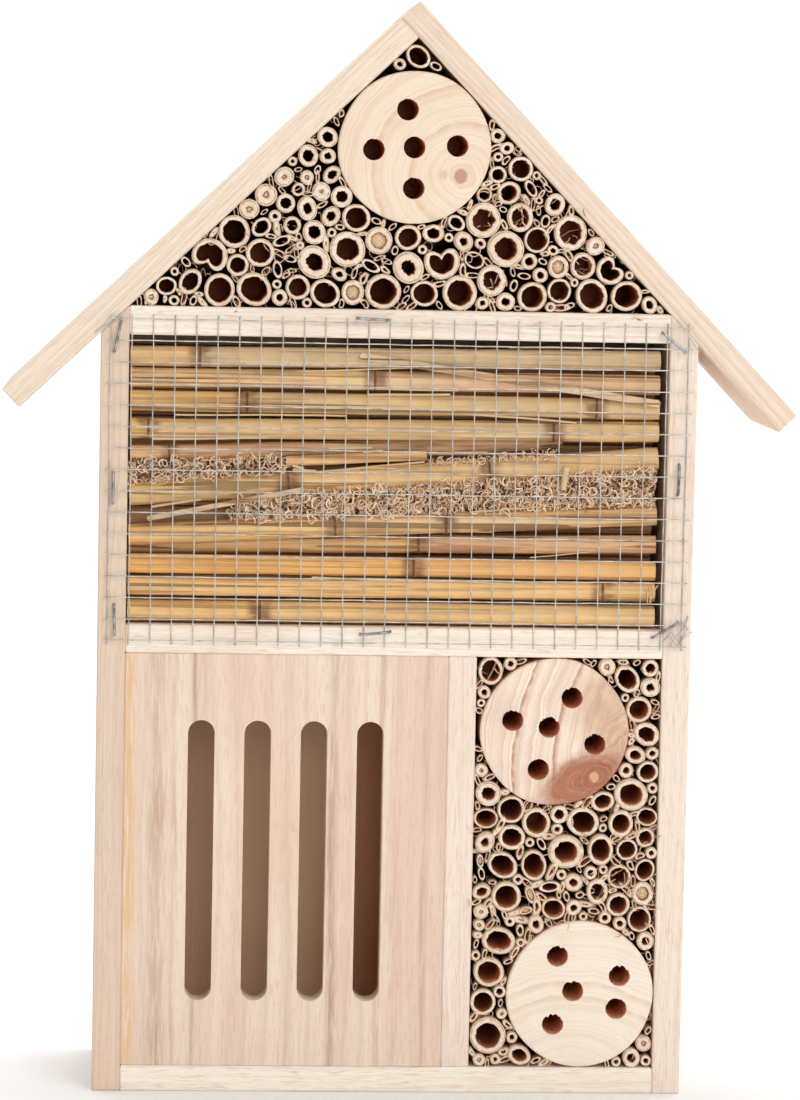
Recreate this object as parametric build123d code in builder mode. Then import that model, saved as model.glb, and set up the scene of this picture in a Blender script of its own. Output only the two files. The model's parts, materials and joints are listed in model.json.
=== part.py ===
"""Insect hotel: a nailed wooden house with a gable of cut reed, a box of canes behind wire mesh,
a slotted butterfly chamber and a nook with two drilled logs.

Millimetres, +Z up. The front faces -Y, and the origin is the centre of the box around the whole
hotel, on the ground. Inside the script, places on the front view are (across, up): across from
the middle of the body, up from the ground. Depth is counted backwards from the front face.
"""
from build123d import *
import math
import os
import numpy as np

# ---- Driving sizes -------------------------------------------------------------------------

body_width = 217.2            # over the outside of both walls
board_depth = 70.0            # front face to the rear of the back panel and the roof
lower_storey = 152.6          # floor to the underside of the middle shelf
cane_storey = 105.2           # middle shelf to the underside of the top shelf
left_pitch = 43.7             # degrees; the two roof boards meet at a right angle
left_overhang = 35.5          # wall to the tip of the left eave
right_overhang = 37.0
nook_width = 68.2             # divider to the right wall

wall_thickness = 10.3
shelf_thickness = 10.5
floor_thickness = 9.6
divider_thickness = 10.4
roof_thickness = 9.3
panel_thickness = 10.0
back_thickness = 4.0
board_ease = 0.4              # small chamfer on the edges of every board

slot_count = 4
slot_pitch = 20.6
slot_width = 9.7
slot_length = 103.7

gable_log_diameter = 55.4
nook_log_diameter = 54.6
log_hole_diameter = 8.0
log_hole_depth = 45.0
log_fit = 0.2                 # between a log and the boards that it touches
upper_log_gap = 1.8           # between the upper log and the divider
end_gap = 0.3                 # behind logs, reeds and canes

reed_gap = 0.08               # between neighbouring reeds, and to boards and logs
reed_recess = 1.2             # how far the deepest reed end sits behind the front
smallest_fill_reed = 1.5      # radius
largest_fill_reed = 3.4       # radius
reed_groups_gable = 9
reed_groups_nook = 8

cane_front = 2.0              # front of the cane stack behind the front face
cane_wall = 1.3
cane_end_bore = 14.0          # depth of the open bore in each end, up to the first node
cane_ring = 0.3               # height of the raised ring at a node
cane_left_gap = 0.4           # cane end to the left wall
cane_right_gap = 3.0
rear_cane_diameter = 8.0
rear_cane_pitch = 8.3
rear_canes_start = 18.2
wool_gap = 0.35               # between the wood wool and the canes around it
wool_front = 2.6
wool_depth = 7.0

wire_diameter = 0.75
wire_touch = 0.01             # between two layers of wire, and to the boards
mesh_pitch = 7.78
mesh_overlap = 5.8            # how far the mesh laps over the boards around the cane storey
mesh_tail = 1.6               # wire beyond the last crossing

staple_wire = 1.0
staple_crown = 12.0
staple_leg = 8.0
staple_bend = 1.1
staple_room = 0.1             # between a staple's leg and the nearest wire, at least
staple_shift = 0.25           # step in which a staple is shifted to find that room

nail_diameter = 1.8
nail_head_diameter = 3.8
nail_head_thickness = 0.9
nail_length = 30.0
roof_nail_length = 19.0
roof_nail_inset = 2.2         # from a wall's inner face, where a roof nail enters its top
pin_length = 14.0
nail_play = 0.05              # around a nail, pin, screw or staple leg in its hole

hanger_width = 16.0
hanger_height = 46.0
hanger_thickness = 1.5
hanger_eye_radius = 3.5
hanger_screw_spacing = 22.0
hanger_screw_diameter = 3.0
hanger_screw_length = 16.0
hanger_head_diameter = 6.0
hanger_head_height = 1.8
hanger_head_room = 4.8        # radius of the hole behind the eye, for the head of a wall screw

# ---- Sizes that follow ---------------------------------------------------------------------

half_body = body_width / 2
half_inside = half_body - wall_thickness
inside_depth = board_depth - back_thickness

floor_top = floor_thickness
middle_under = floor_top + lower_storey
middle_top = middle_under + shelf_thickness
top_under = middle_top + cane_storey
top_shelf_top = top_under + shelf_thickness

pitch = math.radians(left_pitch)
down_left = np.array([-math.cos(pitch), -math.sin(pitch)])     # along the left roof board
down_right = np.array([math.sin(pitch), -math.cos(pitch)])     # along the right roof board
inside_ridge = np.array([
    half_inside * math.cos(2 * pitch),
    top_shelf_top + 2 * half_inside * math.sin(pitch) * math.cos(pitch),
])
left_tip = half_body + left_overhang
right_tip = half_body + right_overhang
left_board_length = (inside_ridge[0] - roof_thickness * math.sin(pitch) + left_tip) / math.cos(pitch)
right_board_length = (right_tip - inside_ridge[0] - roof_thickness * math.cos(pitch)) / math.sin(pitch)

divider_right = half_inside - nook_width
divider_left = divider_right - divider_thickness
panel_width = divider_left + half_inside
panel_middle = (divider_left - half_inside) / 2

front_most = -2 * (wire_diameter + wire_touch) - staple_wire - wire_touch
rear_most = board_depth + hanger_thickness + hanger_head_height
shift_x = (left_tip - right_tip) / 2
shift_y = -(front_most + rear_most) / 2


def front(depth=0.0):
    """The front view at a depth: local x is across, local y is up, and -normal goes backwards."""
    return Plane(origin=(shift_x, shift_y + depth, 0), x_dir=(1, 0, 0), z_dir=(0, -1, 0))


def place(across, depth, up):
    """A point of the hotel in the model's own frame."""
    return Vector(shift_x + across, shift_y + depth, up)


def tack(across, depth, up, outward):
    """The plane of a nail's head: its normal points out of the wood."""
    return Plane(origin=place(across, depth, up), z_dir=outward)


def save(builder, label):
    """Labels a finished piece and writes its STEP file."""
    builder.part.label = label
    export_step(builder.part, f"parts/{label}.step")


os.makedirs("parts", exist_ok=True)

# ---- Nails, pins, screws and staple legs: where they go ---------------------------------------

nail_depths = (0.25 * inside_depth, 0.75 * inside_depth)
level_middles = (floor_thickness / 2, middle_under + shelf_thickness / 2, top_under + shelf_thickness / 2)
nailed_levels = level_middles[:2]                             # the top shelf hangs on the roof nails
left_wall_nails = [tack(-half_body, depth, up, (-1, 0, 0)) for up in nailed_levels for depth in nail_depths]
right_wall_nails = [tack(half_body, depth, up, (1, 0, 0)) for up in nailed_levels for depth in nail_depths]
divider_middle = (divider_left + divider_right) / 2
divider_nails = [tack(divider_middle, depth, 0, (0, 0, -1)) for depth in nail_depths]

out_left = -down_right                                        # outward normal of the left roof board
out_right = -down_left
wall_middle = half_body - wall_thickness / 2
roof_nail_line = half_inside + roof_nail_inset


def roof_nails_over_wall(side, out, along):
    """Nails through a roof board and the inner edge of a wall's top, into the end of the top shelf."""
    run = (side * roof_nail_line - inside_ridge[0]) / along[0]
    head = inside_ridge + run * along + roof_thickness * out
    return [tack(head[0], depth, head[1], (out[0], 0, out[1])) for depth in nail_depths]


ridge_nail_head = inside_ridge + roof_thickness * out_right + roof_thickness / 2 * out_left
left_roof_nails = roof_nails_over_wall(-1, out_left, down_left)
right_roof_nails = roof_nails_over_wall(1, out_right, down_right)
ridge_nails = [
    tack(ridge_nail_head[0], depth, ridge_nail_head[1], (out_right[0], 0, out_right[1]))
    for depth in nail_depths
]

pin_heights = (0.3 * top_shelf_top, 0.75 * top_shelf_top)
back_pins_at = [(side * wall_middle, up) for side in (-1, 1) for up in pin_heights]
back_pins_at += [(across, up) for up in level_middles for across in (-0.35 * half_body, 0.55 * half_body)]
back_pins = [tack(across, board_depth, up, (0, 1, 0)) for across, up in back_pins_at]


def drill(planes, length, diameter=nail_diameter, head=nail_head_diameter, head_deep=nail_head_thickness):
    """Cuts the holes that nails leave in a board, with a seat for each head flush in its face."""
    with Locations(*planes):
        Cylinder(
            diameter / 2 + nail_play, length + nail_play,
            align=(Align.CENTER, Align.CENTER, Align.MAX), mode=Mode.SUBTRACT,
        )
        Cylinder(
            head / 2 + nail_play, head_deep,
            align=(Align.CENTER, Align.CENTER, Align.MAX), mode=Mode.SUBTRACT,
        )


def drive(planes, length):
    """Adds a nail at each plane: a shank with a flat head."""
    with Locations(*planes):
        Cylinder(nail_diameter / 2, length, align=(Align.CENTER, Align.CENTER, Align.MAX))
        Cylinder(nail_head_diameter / 2, nail_head_thickness, align=(Align.CENTER, Align.CENTER, Align.MAX))


# Wire mesh: how many wires it takes to lap over the boards all round
mesh_columns = round((2 * half_inside + 2 * mesh_overlap) / mesh_pitch) + 1
mesh_rows = round((cane_storey + 2 * mesh_overlap) / mesh_pitch) + 1
mesh_middle = (middle_top + top_under) / 2
mesh_half_width = (mesh_columns - 1) * mesh_pitch / 2
mesh_half_height = (mesh_rows - 1) * mesh_pitch / 2

# Staples: (across, up, turn in degrees) of each crown's middle
half_crown = (staple_crown - staple_wire) / 2
side_staple = half_body - 0.6 * wall_thickness
top_staple = top_under + 0.65 * shelf_thickness
bottom_staple = middle_top - 0.2 * shelf_thickness
corner_in = half_inside + 0.15 * wall_thickness
wanted_staples = [
    (-side_staple, top_under - 0.5, 78),
    (-0.1 * half_inside, top_staple, -3),
    (corner_in, top_under + 1.4, -39),
    (-side_staple - 1, mesh_middle - 3, 90),
    (side_staple, mesh_middle + 3, 89),
    (-side_staple, middle_top + 1.6, 92),
    (-0.07 * half_inside, bottom_staple, 6),
    (corner_in - 1, middle_top - 0.4, 31),
]


def to_nearest_wire(place_of_leg, middle, count):
    """Distance from a leg to the nearest wire of one direction."""
    wires = middle + (np.arange(count) - (count - 1) / 2) * mesh_pitch
    return np.abs(wires - place_of_leg).min()


def between_wires(across, up, turn):
    """Shifts a crown's middle by the least that lets both of its legs pass between the wires."""
    reach = np.array([math.cos(math.radians(turn)), math.sin(math.radians(turn))]) * half_crown
    steps = np.arange(-12, 13) * staple_shift
    shifts = sorted(((dx, dz) for dx in steps for dz in steps), key=lambda shift: math.hypot(*shift))
    for dx, dz in shifts:
        legs = [np.array([across + dx, up + dz]) + end * reach for end in (-1, 1)]
        room = min(
            min(to_nearest_wire(leg[0], 0, mesh_columns), to_nearest_wire(leg[1], mesh_middle, mesh_rows))
            for leg in legs
        )
        if room > (wire_diameter + staple_wire) / 2 + staple_room:
            return across + dx, up + dz
    return across, up


staple_planes = []
for wanted_across, wanted_up, turn in wanted_staples:
    across, up = between_wires(wanted_across, wanted_up, turn)
    staple_planes.append(Plane(
        origin=place(across, -2 * (wire_diameter + wire_touch) - wire_touch - staple_wire / 2, up),
        x_dir=(math.cos(math.radians(turn)), 0, math.sin(math.radians(turn))),
        z_dir=(0, -1, 0),
    ))


def staple_holes():
    """Cuts the holes of the staple legs, which reach back from each crown's ends."""
    reach = staple_leg + abs(front_most) + nail_play
    for plane in staple_planes:
        with Locations(plane):
            with Locations((-half_crown, 0), (half_crown, 0)):
                Cylinder(
                    staple_wire / 2 + nail_play, reach,
                    align=(Align.CENTER, Align.CENTER, Align.MAX), mode=Mode.SUBTRACT,
                )


# ---- Boards ----------------------------------------------------------------------------------


def wall_outline(side, pitch_tangent):
    """Front outline of a wall, with its top cut to the roof's slope."""
    outer = side * half_body
    inner = side * half_inside
    eave_side = (outer, top_shelf_top - wall_thickness * pitch_tangent)
    return [(outer, 0), (inner, 0), (inner, top_shelf_top), eave_side]


with BuildPart() as left_wall:
    with BuildSketch(front()):
        with BuildLine():
            Polyline(*wall_outline(-1, math.tan(pitch)), close=True)
        make_face()
    extrude(amount=-inside_depth)
    chamfer(left_wall.edges(), board_ease)
    drill(left_wall_nails, nail_length)
    drill(left_roof_nails, roof_nail_length)
    drill(back_pins, pin_length)
    staple_holes()
save(left_wall, "left_wall")

with BuildPart() as right_wall:
    with BuildSketch(front()):
        with BuildLine():
            Polyline(*wall_outline(1, 1 / math.tan(pitch)), close=True)
        make_face()
    extrude(amount=-inside_depth)
    chamfer(right_wall.edges(), board_ease)
    drill(right_wall_nails, nail_length)
    drill(right_roof_nails, roof_nail_length)
    drill(back_pins, pin_length)
    staple_holes()
save(right_wall, "right_wall")


def make_shelf(label, underside, thickness, extra_nails=()):
    """A board that lies level between the two walls."""
    with BuildPart() as shelf:
        with BuildSketch(front()):
            with Locations((0, underside + thickness / 2)):
                Rectangle(2 * half_inside, thickness)
        extrude(amount=-inside_depth)
        chamfer(shelf.edges(), board_ease)
        drill(left_wall_nails + right_wall_nails, nail_length)
        drill(left_roof_nails + right_roof_nails, roof_nail_length)
        drill(back_pins, pin_length)
        if extra_nails:
            drill(extra_nails, nail_length)
        staple_holes()
    save(shelf, label)


make_shelf("floor_board", 0, floor_thickness, divider_nails)
make_shelf("middle_shelf", middle_under, shelf_thickness)
make_shelf("top_shelf", top_under, shelf_thickness)

with BuildPart() as divider:
    with BuildSketch(front()):
        with Locations((divider_middle, floor_top + lower_storey / 2)):
            Rectangle(divider_thickness, lower_storey)
    extrude(amount=-inside_depth)
    chamfer(divider.edges(), board_ease)
    drill(divider_nails, nail_length)
save(divider, "divider_board")

with BuildPart() as slotted_panel:
    with BuildSketch(front()):
        with Locations((panel_middle, floor_top + lower_storey / 2)):
            Rectangle(panel_width, lower_storey)
    extrude(amount=-panel_thickness)
    chamfer(slotted_panel.edges(), board_ease)
    with BuildSketch(front()):
        with Locations((panel_middle, floor_top + lower_storey / 2)):
            with GridLocations(slot_pitch, 0, slot_count, 1):
                SlotOverall(slot_length, slot_width, rotation=90)
    extrude(amount=-panel_thickness, mode=Mode.SUBTRACT)
save(slotted_panel, "slotted_panel")


def roof_outline(along, out, near, far):
    """Front outline of a roof board, from its ridge end to its eave."""
    low = inside_ridge + near * along
    end = inside_ridge + far * along
    return [tuple(low), tuple(end), tuple(end + roof_thickness * out), tuple(low + roof_thickness * out)]


def make_roof_board(label, outline, nails):
    """A roof board, over the full depth of the hotel."""
    with BuildPart() as board:
        with BuildSketch(front()):
            with BuildLine():
                Polyline(*outline, close=True)
            make_face()
        extrude(amount=-board_depth)
        chamfer(board.edges(), board_ease)
        drill(nails, roof_nail_length)
        drill(ridge_nails, nail_length)
    save(board, label)


make_roof_board("roof_board_left", roof_outline(down_left, out_left, 0, left_board_length), left_roof_nails)
make_roof_board(
    "roof_board_right", roof_outline(down_right, out_right, -roof_thickness, right_board_length),
    right_roof_nails,
)

# ---- Back panel and hanger -------------------------------------------------------------------

hanger_up = top_shelf_top + 0.62 * (inside_ridge[1] - top_shelf_top)
eye_up = hanger_up + hanger_height / 2 - hanger_width / 2
hanger_screws_at = [
    tack(inside_ridge[0], board_depth + hanger_thickness + hanger_head_height, up, (0, 1, 0))
    for up in (hanger_up - hanger_height / 2 + 6, hanger_up - hanger_height / 2 + 6 + hanger_screw_spacing)
]
screw_reach = hanger_screw_length + hanger_head_height

with BuildPart() as back_panel:
    with BuildSketch(front(inside_depth)):
        with BuildLine():
            Polyline(
                (-half_body, 0),
                (half_body, 0),
                (half_body, top_shelf_top - wall_thickness / math.tan(pitch)),
                tuple(inside_ridge),
                (-half_body, top_shelf_top - wall_thickness * math.tan(pitch)),
                close=True,
            )
        make_face()
    extrude(amount=-back_thickness)
    drill(back_pins, pin_length)
    with Locations(Plane(origin=place(inside_ridge[0], board_depth, eye_up), z_dir=(0, 1, 0))):
        Cylinder(
            hanger_head_room, back_thickness,
            align=(Align.CENTER, Align.CENTER, Align.MAX), mode=Mode.SUBTRACT,
        )
    with Locations(*hanger_screws_at):
        Cylinder(
            hanger_screw_diameter / 2 + nail_play, screw_reach,
            align=(Align.CENTER, Align.CENTER, Align.MAX), mode=Mode.SUBTRACT,
        )
save(back_panel, "back_panel")

rear_face = Plane(origin=place(inside_ridge[0], board_depth, 0), x_dir=(-1, 0, 0), z_dir=(0, 1, 0))
with BuildPart() as hanger_plate:
    with BuildSketch(rear_face):
        with Locations((0, hanger_up)):
            SlotOverall(hanger_height, hanger_width, rotation=90)
        with Locations((0, eye_up)):
            Circle(hanger_eye_radius, mode=Mode.SUBTRACT)
    extrude(amount=hanger_thickness)
    with Locations(*hanger_screws_at):
        Cylinder(
            hanger_screw_diameter / 2 + nail_play, screw_reach,
            align=(Align.CENTER, Align.CENTER, Align.MAX), mode=Mode.SUBTRACT,
        )
save(hanger_plate, "hanger_plate")

with BuildPart() as hanger_screws:
    with Locations(*hanger_screws_at):
        Cylinder(hanger_screw_diameter / 2, screw_reach, align=(Align.CENTER, Align.CENTER, Align.MAX))
        Cylinder(hanger_head_diameter / 2, hanger_head_height, align=(Align.CENTER, Align.CENTER, Align.MAX))
    head_rims = hanger_screws.edges().filter_by(GeomType.CIRCLE).group_by(Axis.Y)[-1]
    fillet(head_rims, hanger_head_height / 3)
save(hanger_screws, "hanger_screws")

# ---- Nails -----------------------------------------------------------------------------------

with BuildPart() as wall_nails:
    drive(left_wall_nails + right_wall_nails + divider_nails, nail_length)
save(wall_nails, "wall_nails")

with BuildPart() as roof_nails:
    drive(left_roof_nails + right_roof_nails, roof_nail_length)
    drive(ridge_nails, nail_length)
save(roof_nails, "roof_nails")

with BuildPart() as panel_pins:
    drive(back_pins, pin_length)
save(panel_pins, "back_pins")

# ---- Logs ------------------------------------------------------------------------------------

gable_log_radius = gable_log_diameter / 2
nook_log_radius = nook_log_diameter / 2
gable_log_at = inside_ridge + (gable_log_radius + log_fit) * (down_left + down_right)
upper_log_at = np.array(
    [divider_right + upper_log_gap + nook_log_radius, middle_under - log_fit - nook_log_radius]
)
lower_log_at = np.array([half_inside - log_fit - nook_log_radius, floor_top + log_fit + nook_log_radius])
log_length = inside_depth - end_gap - log_fit


def log_hole_layout(out, turns):
    """Hole places around a log's middle: one near the middle, four at (turn in degrees, distance)."""
    return [out] + [
        (far * math.cos(math.radians(turn)), far * math.sin(math.radians(turn))) for turn, far in turns
    ]


gable_holes = log_hole_layout((0, 0), ((3, 15.6), (101, 13.8), (184, 14.7), (270, 14.7)))
upper_holes = log_hole_layout((-2, 1.8), ((344, 15.6), (64, 14.2), (165, 16.0), (248, 15.0)))
lower_holes = log_hole_layout((-2.6, 1.3), ((339, 14.6), (26, 16.2), (121, 16.6), (229, 14.9)))


def make_log(label, middle, radius, holes):
    """A round of branch wood, drilled from the front with blind nesting holes."""
    with BuildPart() as log:
        with BuildSketch(front(log_fit)):
            with Locations(tuple(middle)):
                Circle(radius)
        extrude(amount=-log_length)
        with BuildSketch(front(log_fit)):
            with Locations(*[(middle[0] + across, middle[1] + up) for across, up in holes]):
                Circle(log_hole_diameter / 2)
        extrude(amount=-log_hole_depth, mode=Mode.SUBTRACT)
        with Locations(*hanger_screws_at):
            Cylinder(
                hanger_screw_diameter / 2 + nail_play, screw_reach,
                align=(Align.CENTER, Align.CENTER, Align.MAX), mode=Mode.SUBTRACT,
            )
    save(log, label)


make_log("gable_log", gable_log_at, gable_log_radius, gable_holes)
make_log("upper_log", upper_log_at, nook_log_radius, upper_holes)
make_log("lower_log", lower_log_at, nook_log_radius, lower_holes)

# ---- Reeds -----------------------------------------------------------------------------------

# (across, up, outer diameter, bore diameter) of the reeds laid by hand. The gable's are counted
# from the middle of the body and the top shelf, the nook's from the divider and the floor.
gable_list_width = 196.6
gable_reeds = [
    (-93, 3, 6.0, 2.0), (-86, 7.5, 7.5, 5.5), (-78, 9, 9.8, 7.0), (-67, 7, 12.0, 9.0), (-54, 7.5, 13.0, 9.8),
    (-83, 2, 4.0, 2.0), (-76, 2, 4.0, 1.6), (-43, 6, 6.0, 2.6), (-37, 9.5, 9.0, 6.5), (-28.5, 5.5, 11.0, 8.2),
    (-18.5, 6, 9.0, 5.0), (-7, 7, 13.0, 9.5), (1.5, 4, 4.0, 2.0), (8, 6, 10.0, 7.8), (19.5, 7, 13.0, 9.4),
    (37, 4, 7.0, 3.0), (31, 11.5, 11.5, 7.0), (47.5, 5.5, 11.0, 8.0), (57, 9, 9.0, 7.0), (69.5, 7, 12.5, 9.4),
    (82, 7, 11.5, 8.8), (90.5, 3.5, 6.5, 3.0), (29, 3.5, 5.0, 2.0),
    (-72, 18.5, 13.0, 9.6), (-61.7, 16, 8.0, 5.5), (-52.7, 19.5, 10.5, 7.6), (-45.5, 14.5, 6.6, 3.6),
    (-39.5, 17.5, 5.0, 2.4), (-28.5, 16.5, 12.6, 6.4), (-12.5, 17, 7.5, 3.6), (-6.5, 17, 4.4, 2.2),
    (2, 15.5, 11.8, 5.4), (14.5, 18.5, 13.0, 9.0), (26, 19, 7.6, 6.0), (46, 18, 6.0, 3.2), (45, 13, 5.0, 2.4),
    (56.5, 16, 8.2, 5.4), (66, 17.5, 9.8, 6.8), (76.5, 16, 10.5, 7.4), (51.5, 18, 3.6, 1.6),
    (-61.5, 27, 12.0, 8.6), (-52, 28.5, 7.8, 5.4), (-44.5, 24, 7.0, 4.4), (-36.8, 22.3, 3.2, 1.0),
    (-32, 27, 8.8, 4.6), (-40.4, 29.5, 6.5, 4.0), (-47, 32.5, 4.6, 1.8), (-21.3, 23, 13.0, 8.2),
    (-8.7, 25, 10.0, 4.0), (2, 27, 9.6, 7.0), (11, 30, 8.0, 4.6), (22.3, 26, 7.6, 3.0), (18.5, 33, 6.8, 4.6),
    (37.5, 22.3, 13.4, 8.2), (48.5, 26.5, 9.6, 7.8), (61, 29, 13.0, 8.6), (70, 24, 7.0, 1.8),
    (-56.3, 35, 7.4, 2.2), (-25.5, 33.5, 7.8, 3.8), (-15.3, 33, 10.4, 7.8), (-34.3, 36, 8.8, 3.8),
    (-42.8, 38, 7.0, 4.0), (-49.5, 41, 8.2, 2.2), (-21.5, 40, 8.0, 4.2), (-30, 42, 7.0, 1.4),
    (-38, 43, 5.0, 3.0), (-25, 48, 7.2, 3.6), (-35.2, 47, 5.4, 1.8), (-43.5, 47.5, 7.4, 1.8),
    (-40.5, 53, 3.4, 1.4), (-27.7, 55, 6.0, 2.6), (-35, 55.3, 8.0, 4.2), (-28.5, 62.5, 7.6, 3.8),
    (29.2, 33.5, 12.8, 8.0), (42.7, 34, 10.4, 7.0), (54.7, 39, 8.4, 4.4), (49.5, 37, 4.0, 1.8),
    (27.5, 42, 5.6, 4.0), (38.2, 43, 8.8, 6.0), (46, 45, 7.0, 3.2), (34, 49.5, 6.4, 4.2),
    (42.4, 51.5, 9.0, 6.6),
    (37, 59, 5.2, 2.2), (34, 56, 3.6, 1.6), (4.5, 91.5, 9.4, 7.2),
]
nook_list_width = 68.2
nook_list_height = 152.6
nook_reeds = [
    (5.5, 146.5, 10.6, 8.0), (48, 149, 6.6, 2.0), (55.5, 145, 10.6, 7.8), (64, 149, 6.4, 3.6),
    (64, 142, 7.4, 3.0),
    (60, 133, 9.6, 7.0), (66, 131.5, 3.6, 1.6), (63, 123, 9.6, 6.0), (57.2, 115.7, 7.6, 4.0),
    (64, 112.5, 8.2, 6.0), (2.6, 110.5, 5.0, 1.4), (5.3, 101.5, 9.4, 5.0), (58.3, 103.5, 12.4, 8.4),
    (49, 99.5, 8.8, 6.0), (14.5, 95.7, 10.2, 8.0), (4.7, 92.5, 9.2, 7.4), (32.5, 96, 6.6, 3.6),
    (24, 91.5, 11.0, 8.0), (39.3, 93.5, 12.0, 8.6), (54.5, 91.5, 10.0, 7.0), (64, 95, 8.0, 6.4),
    (4.5, 84.5, 8.2, 3.4), (14.3, 85.7, 10.0, 7.0), (25, 83, 5.2, 2.4), (35.5, 81, 13.2, 8.4),
    (47, 81.5, 11.6, 8.4), (56.5, 81.5, 8.0, 6.2), (63.8, 86, 7.2, 5.0), (2.8, 77, 5.0, 1.8),
    (11.2, 75.5, 11.4, 8.8), (23.2, 76, 11.4, 9.0), (64, 74, 8.6, 6.8), (54.3, 71.5, 8.8, 7.0),
    (43.8, 72.8, 5.0, 2.4), (46.5, 65.8, 9.4, 6.0), (3.4, 65.5, 7.0, 4.0), (13, 63.8, 11.0, 8.2),
    (21.5, 64.5, 7.0, 2.2), (28.5, 67.3, 8.0, 3.6), (30.2, 59.7, 8.8, 7.0), (54.2, 61, 8.8, 6.4),
    (63.2, 65.3, 8.6, 7.0), (62.3, 55.5, 9.6, 7.8), (3.5, 58, 5.4, 1.4), (37.8, 59.8, 6.0, 2.6),
    (45.3, 58.5, 4.4, 1.8), (20, 58.5, 5.2, 1.8), (3, 53, 4.6, 1.6), (9, 55.3, 4.4, 1.6), (14, 54, 4.0, 1.6),
    (10, 47.5, 12.6, 9.0), (2, 46, 4.0, 1.6), (18, 51, 4.8, 1.8), (64.8, 47.5, 6.8, 3.0),
    (7, 35.7, 11.4, 8.4),
    (4.8, 25, 9.8, 7.2), (11.4, 27.5, 4.6, 2.4), (12, 20, 4.0, 1.4), (7, 11.8, 13.6, 9.4),
    (20.5, 5, 8.8, 5.6), (4, 2.6, 4.6, 1.6), (10, 2.8, 4.2, 1.6), (64.3, 8.8, 6.8, 2.2),
    (59.3, 3.9, 7.6, 3.6),
]
thinnest_kept = 0.75          # a reed squeezed below this share of its size is left out
settle_steps = 500
grid_step = 0.5


def room_at(points, walls, logs, placed):
    """Distance from each point to the nearest board, log or placed reed."""
    room = np.full(len(points), np.inf)
    for normal, edge in walls:
        room = np.minimum(room, edge - points @ normal)
    for centre, radius in list(logs) + [(np.array(reed[:2]), reed[2]) for reed in placed]:
        room = np.minimum(room, np.hypot(*(points - centre).T) - radius)
    return room


def push_apart(centres, radii, walls, logs):
    """Moves overlapping reeds off each other, the boards and the logs, a little at a time."""
    for _ in range(settle_steps):
        away = centres[:, None] - centres[None]
        far = np.hypot(away[..., 0], away[..., 1]) + np.eye(len(radii)) * 1e9
        overlap = np.maximum(radii[:, None] + radii[None] + reed_gap - far, 0)
        move = (away * (overlap / far / 2)[..., None]).sum(1)
        for normal, edge in walls:
            move -= np.maximum(centres @ normal + radii + reed_gap - edge, 0)[:, None] * normal
        for centre, radius in logs:
            away = centres - centre
            far = np.hypot(*away.T)
            move += (np.maximum(radii + radius + reed_gap - far, 0) / far)[:, None] * away
        centres = centres + 0.6 * move
    return centres


def pack_reeds(wanted, walls, logs, corner, size):
    """Lays the wanted reeds so that none overlap, then fills wide gaps with thin ones.

    Gives (across, up, radius, bore radius) for each reed, the widest first.
    """
    wanted = sorted(wanted, key=lambda reed: -reed[2])
    radii = np.array([reed[2] for reed in wanted]) / 2
    centres = push_apart(np.array([reed[:2] for reed in wanted]), radii, walls, logs)
    placed = []
    for centre, (_, _, outer, bore) in zip(centres, wanted):
        room = room_at(centre[None], walls, logs, placed)[0] - reed_gap
        if room > thinnest_kept * outer / 2:
            radius = min(outer / 2, room)
            placed.append((centre[0], centre[1], radius, radius * bore / outer))
    across, up = np.meshgrid(*(np.arange(low, low + span, grid_step) for low, span in zip(corner, size)))
    points = np.column_stack([across.ravel(), up.ravel()])
    room = room_at(points, walls, logs, placed)
    while room.max() > smallest_fill_reed + reed_gap:
        widest = points[room.argmax()]
        radius = min(room.max() - reed_gap, largest_fill_reed)
        placed.append((widest[0], widest[1], radius, 0.45 * radius))
        room = np.minimum(room, np.hypot(*(points - widest).T) - radius)
    return sorted(placed, key=lambda reed: -reed[2])


gable_scale = 2 * half_inside / gable_list_width
gable_wanted = [
    (across * gable_scale, top_shelf_top + up * gable_scale, outer * gable_scale, bore * gable_scale)
    for across, up, outer, bore in gable_reeds
]
gable_walls = [
    (np.array([0.0, -1.0]), -top_shelf_top),
    (out_left, float(out_left @ inside_ridge)),
    (out_right, float(out_right @ inside_ridge)),
]
gable_laid = pack_reeds(
    gable_wanted, gable_walls, [(gable_log_at, gable_log_radius)],
    (-half_inside, top_shelf_top), (2 * half_inside, inside_ridge[1] - top_shelf_top),
)

nook_across = nook_width / nook_list_width
nook_up = lower_storey / nook_list_height
nook_wanted = [
    (divider_right + across * nook_across, floor_top + up * nook_up, outer, bore)
    for across, up, outer, bore in nook_reeds
]
nook_walls = [
    (np.array([0.0, -1.0]), -floor_top),
    (np.array([0.0, 1.0]), middle_under),
    (np.array([-1.0, 0.0]), -divider_right),
    (np.array([1.0, 0.0]), half_inside),
]
nook_logs = [(upper_log_at, nook_log_radius), (lower_log_at, nook_log_radius)]
nook_laid = pack_reeds(
    nook_wanted, nook_walls, nook_logs, (divider_right, floor_top), (nook_width, lower_storey)
)


def make_reeds(name, laid, groups):
    """Writes the reeds of one compartment as groups of tubes, from the widest group to the thinnest."""
    for group, members in enumerate(np.array_split(np.arange(len(laid)), groups), start=1):
        with BuildPart() as reeds:
            for index in members:
                across, up, radius, bore = laid[index]
                recess = reed_recess * (index * 7 % 5) / 4 + 0.1
                with BuildSketch(front(recess)):
                    with Locations((across, up)):
                        Circle(radius)
                        Circle(bore, mode=Mode.SUBTRACT)
                extrude(amount=-(inside_depth - end_gap - recess))
        save(reeds, f"{name}_reeds_{group:02d}")


make_reeds("gable", gable_laid, reed_groups_gable)
make_reeds("nook", nook_laid, reed_groups_nook)

# ---- Canes -----------------------------------------------------------------------------------

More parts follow.
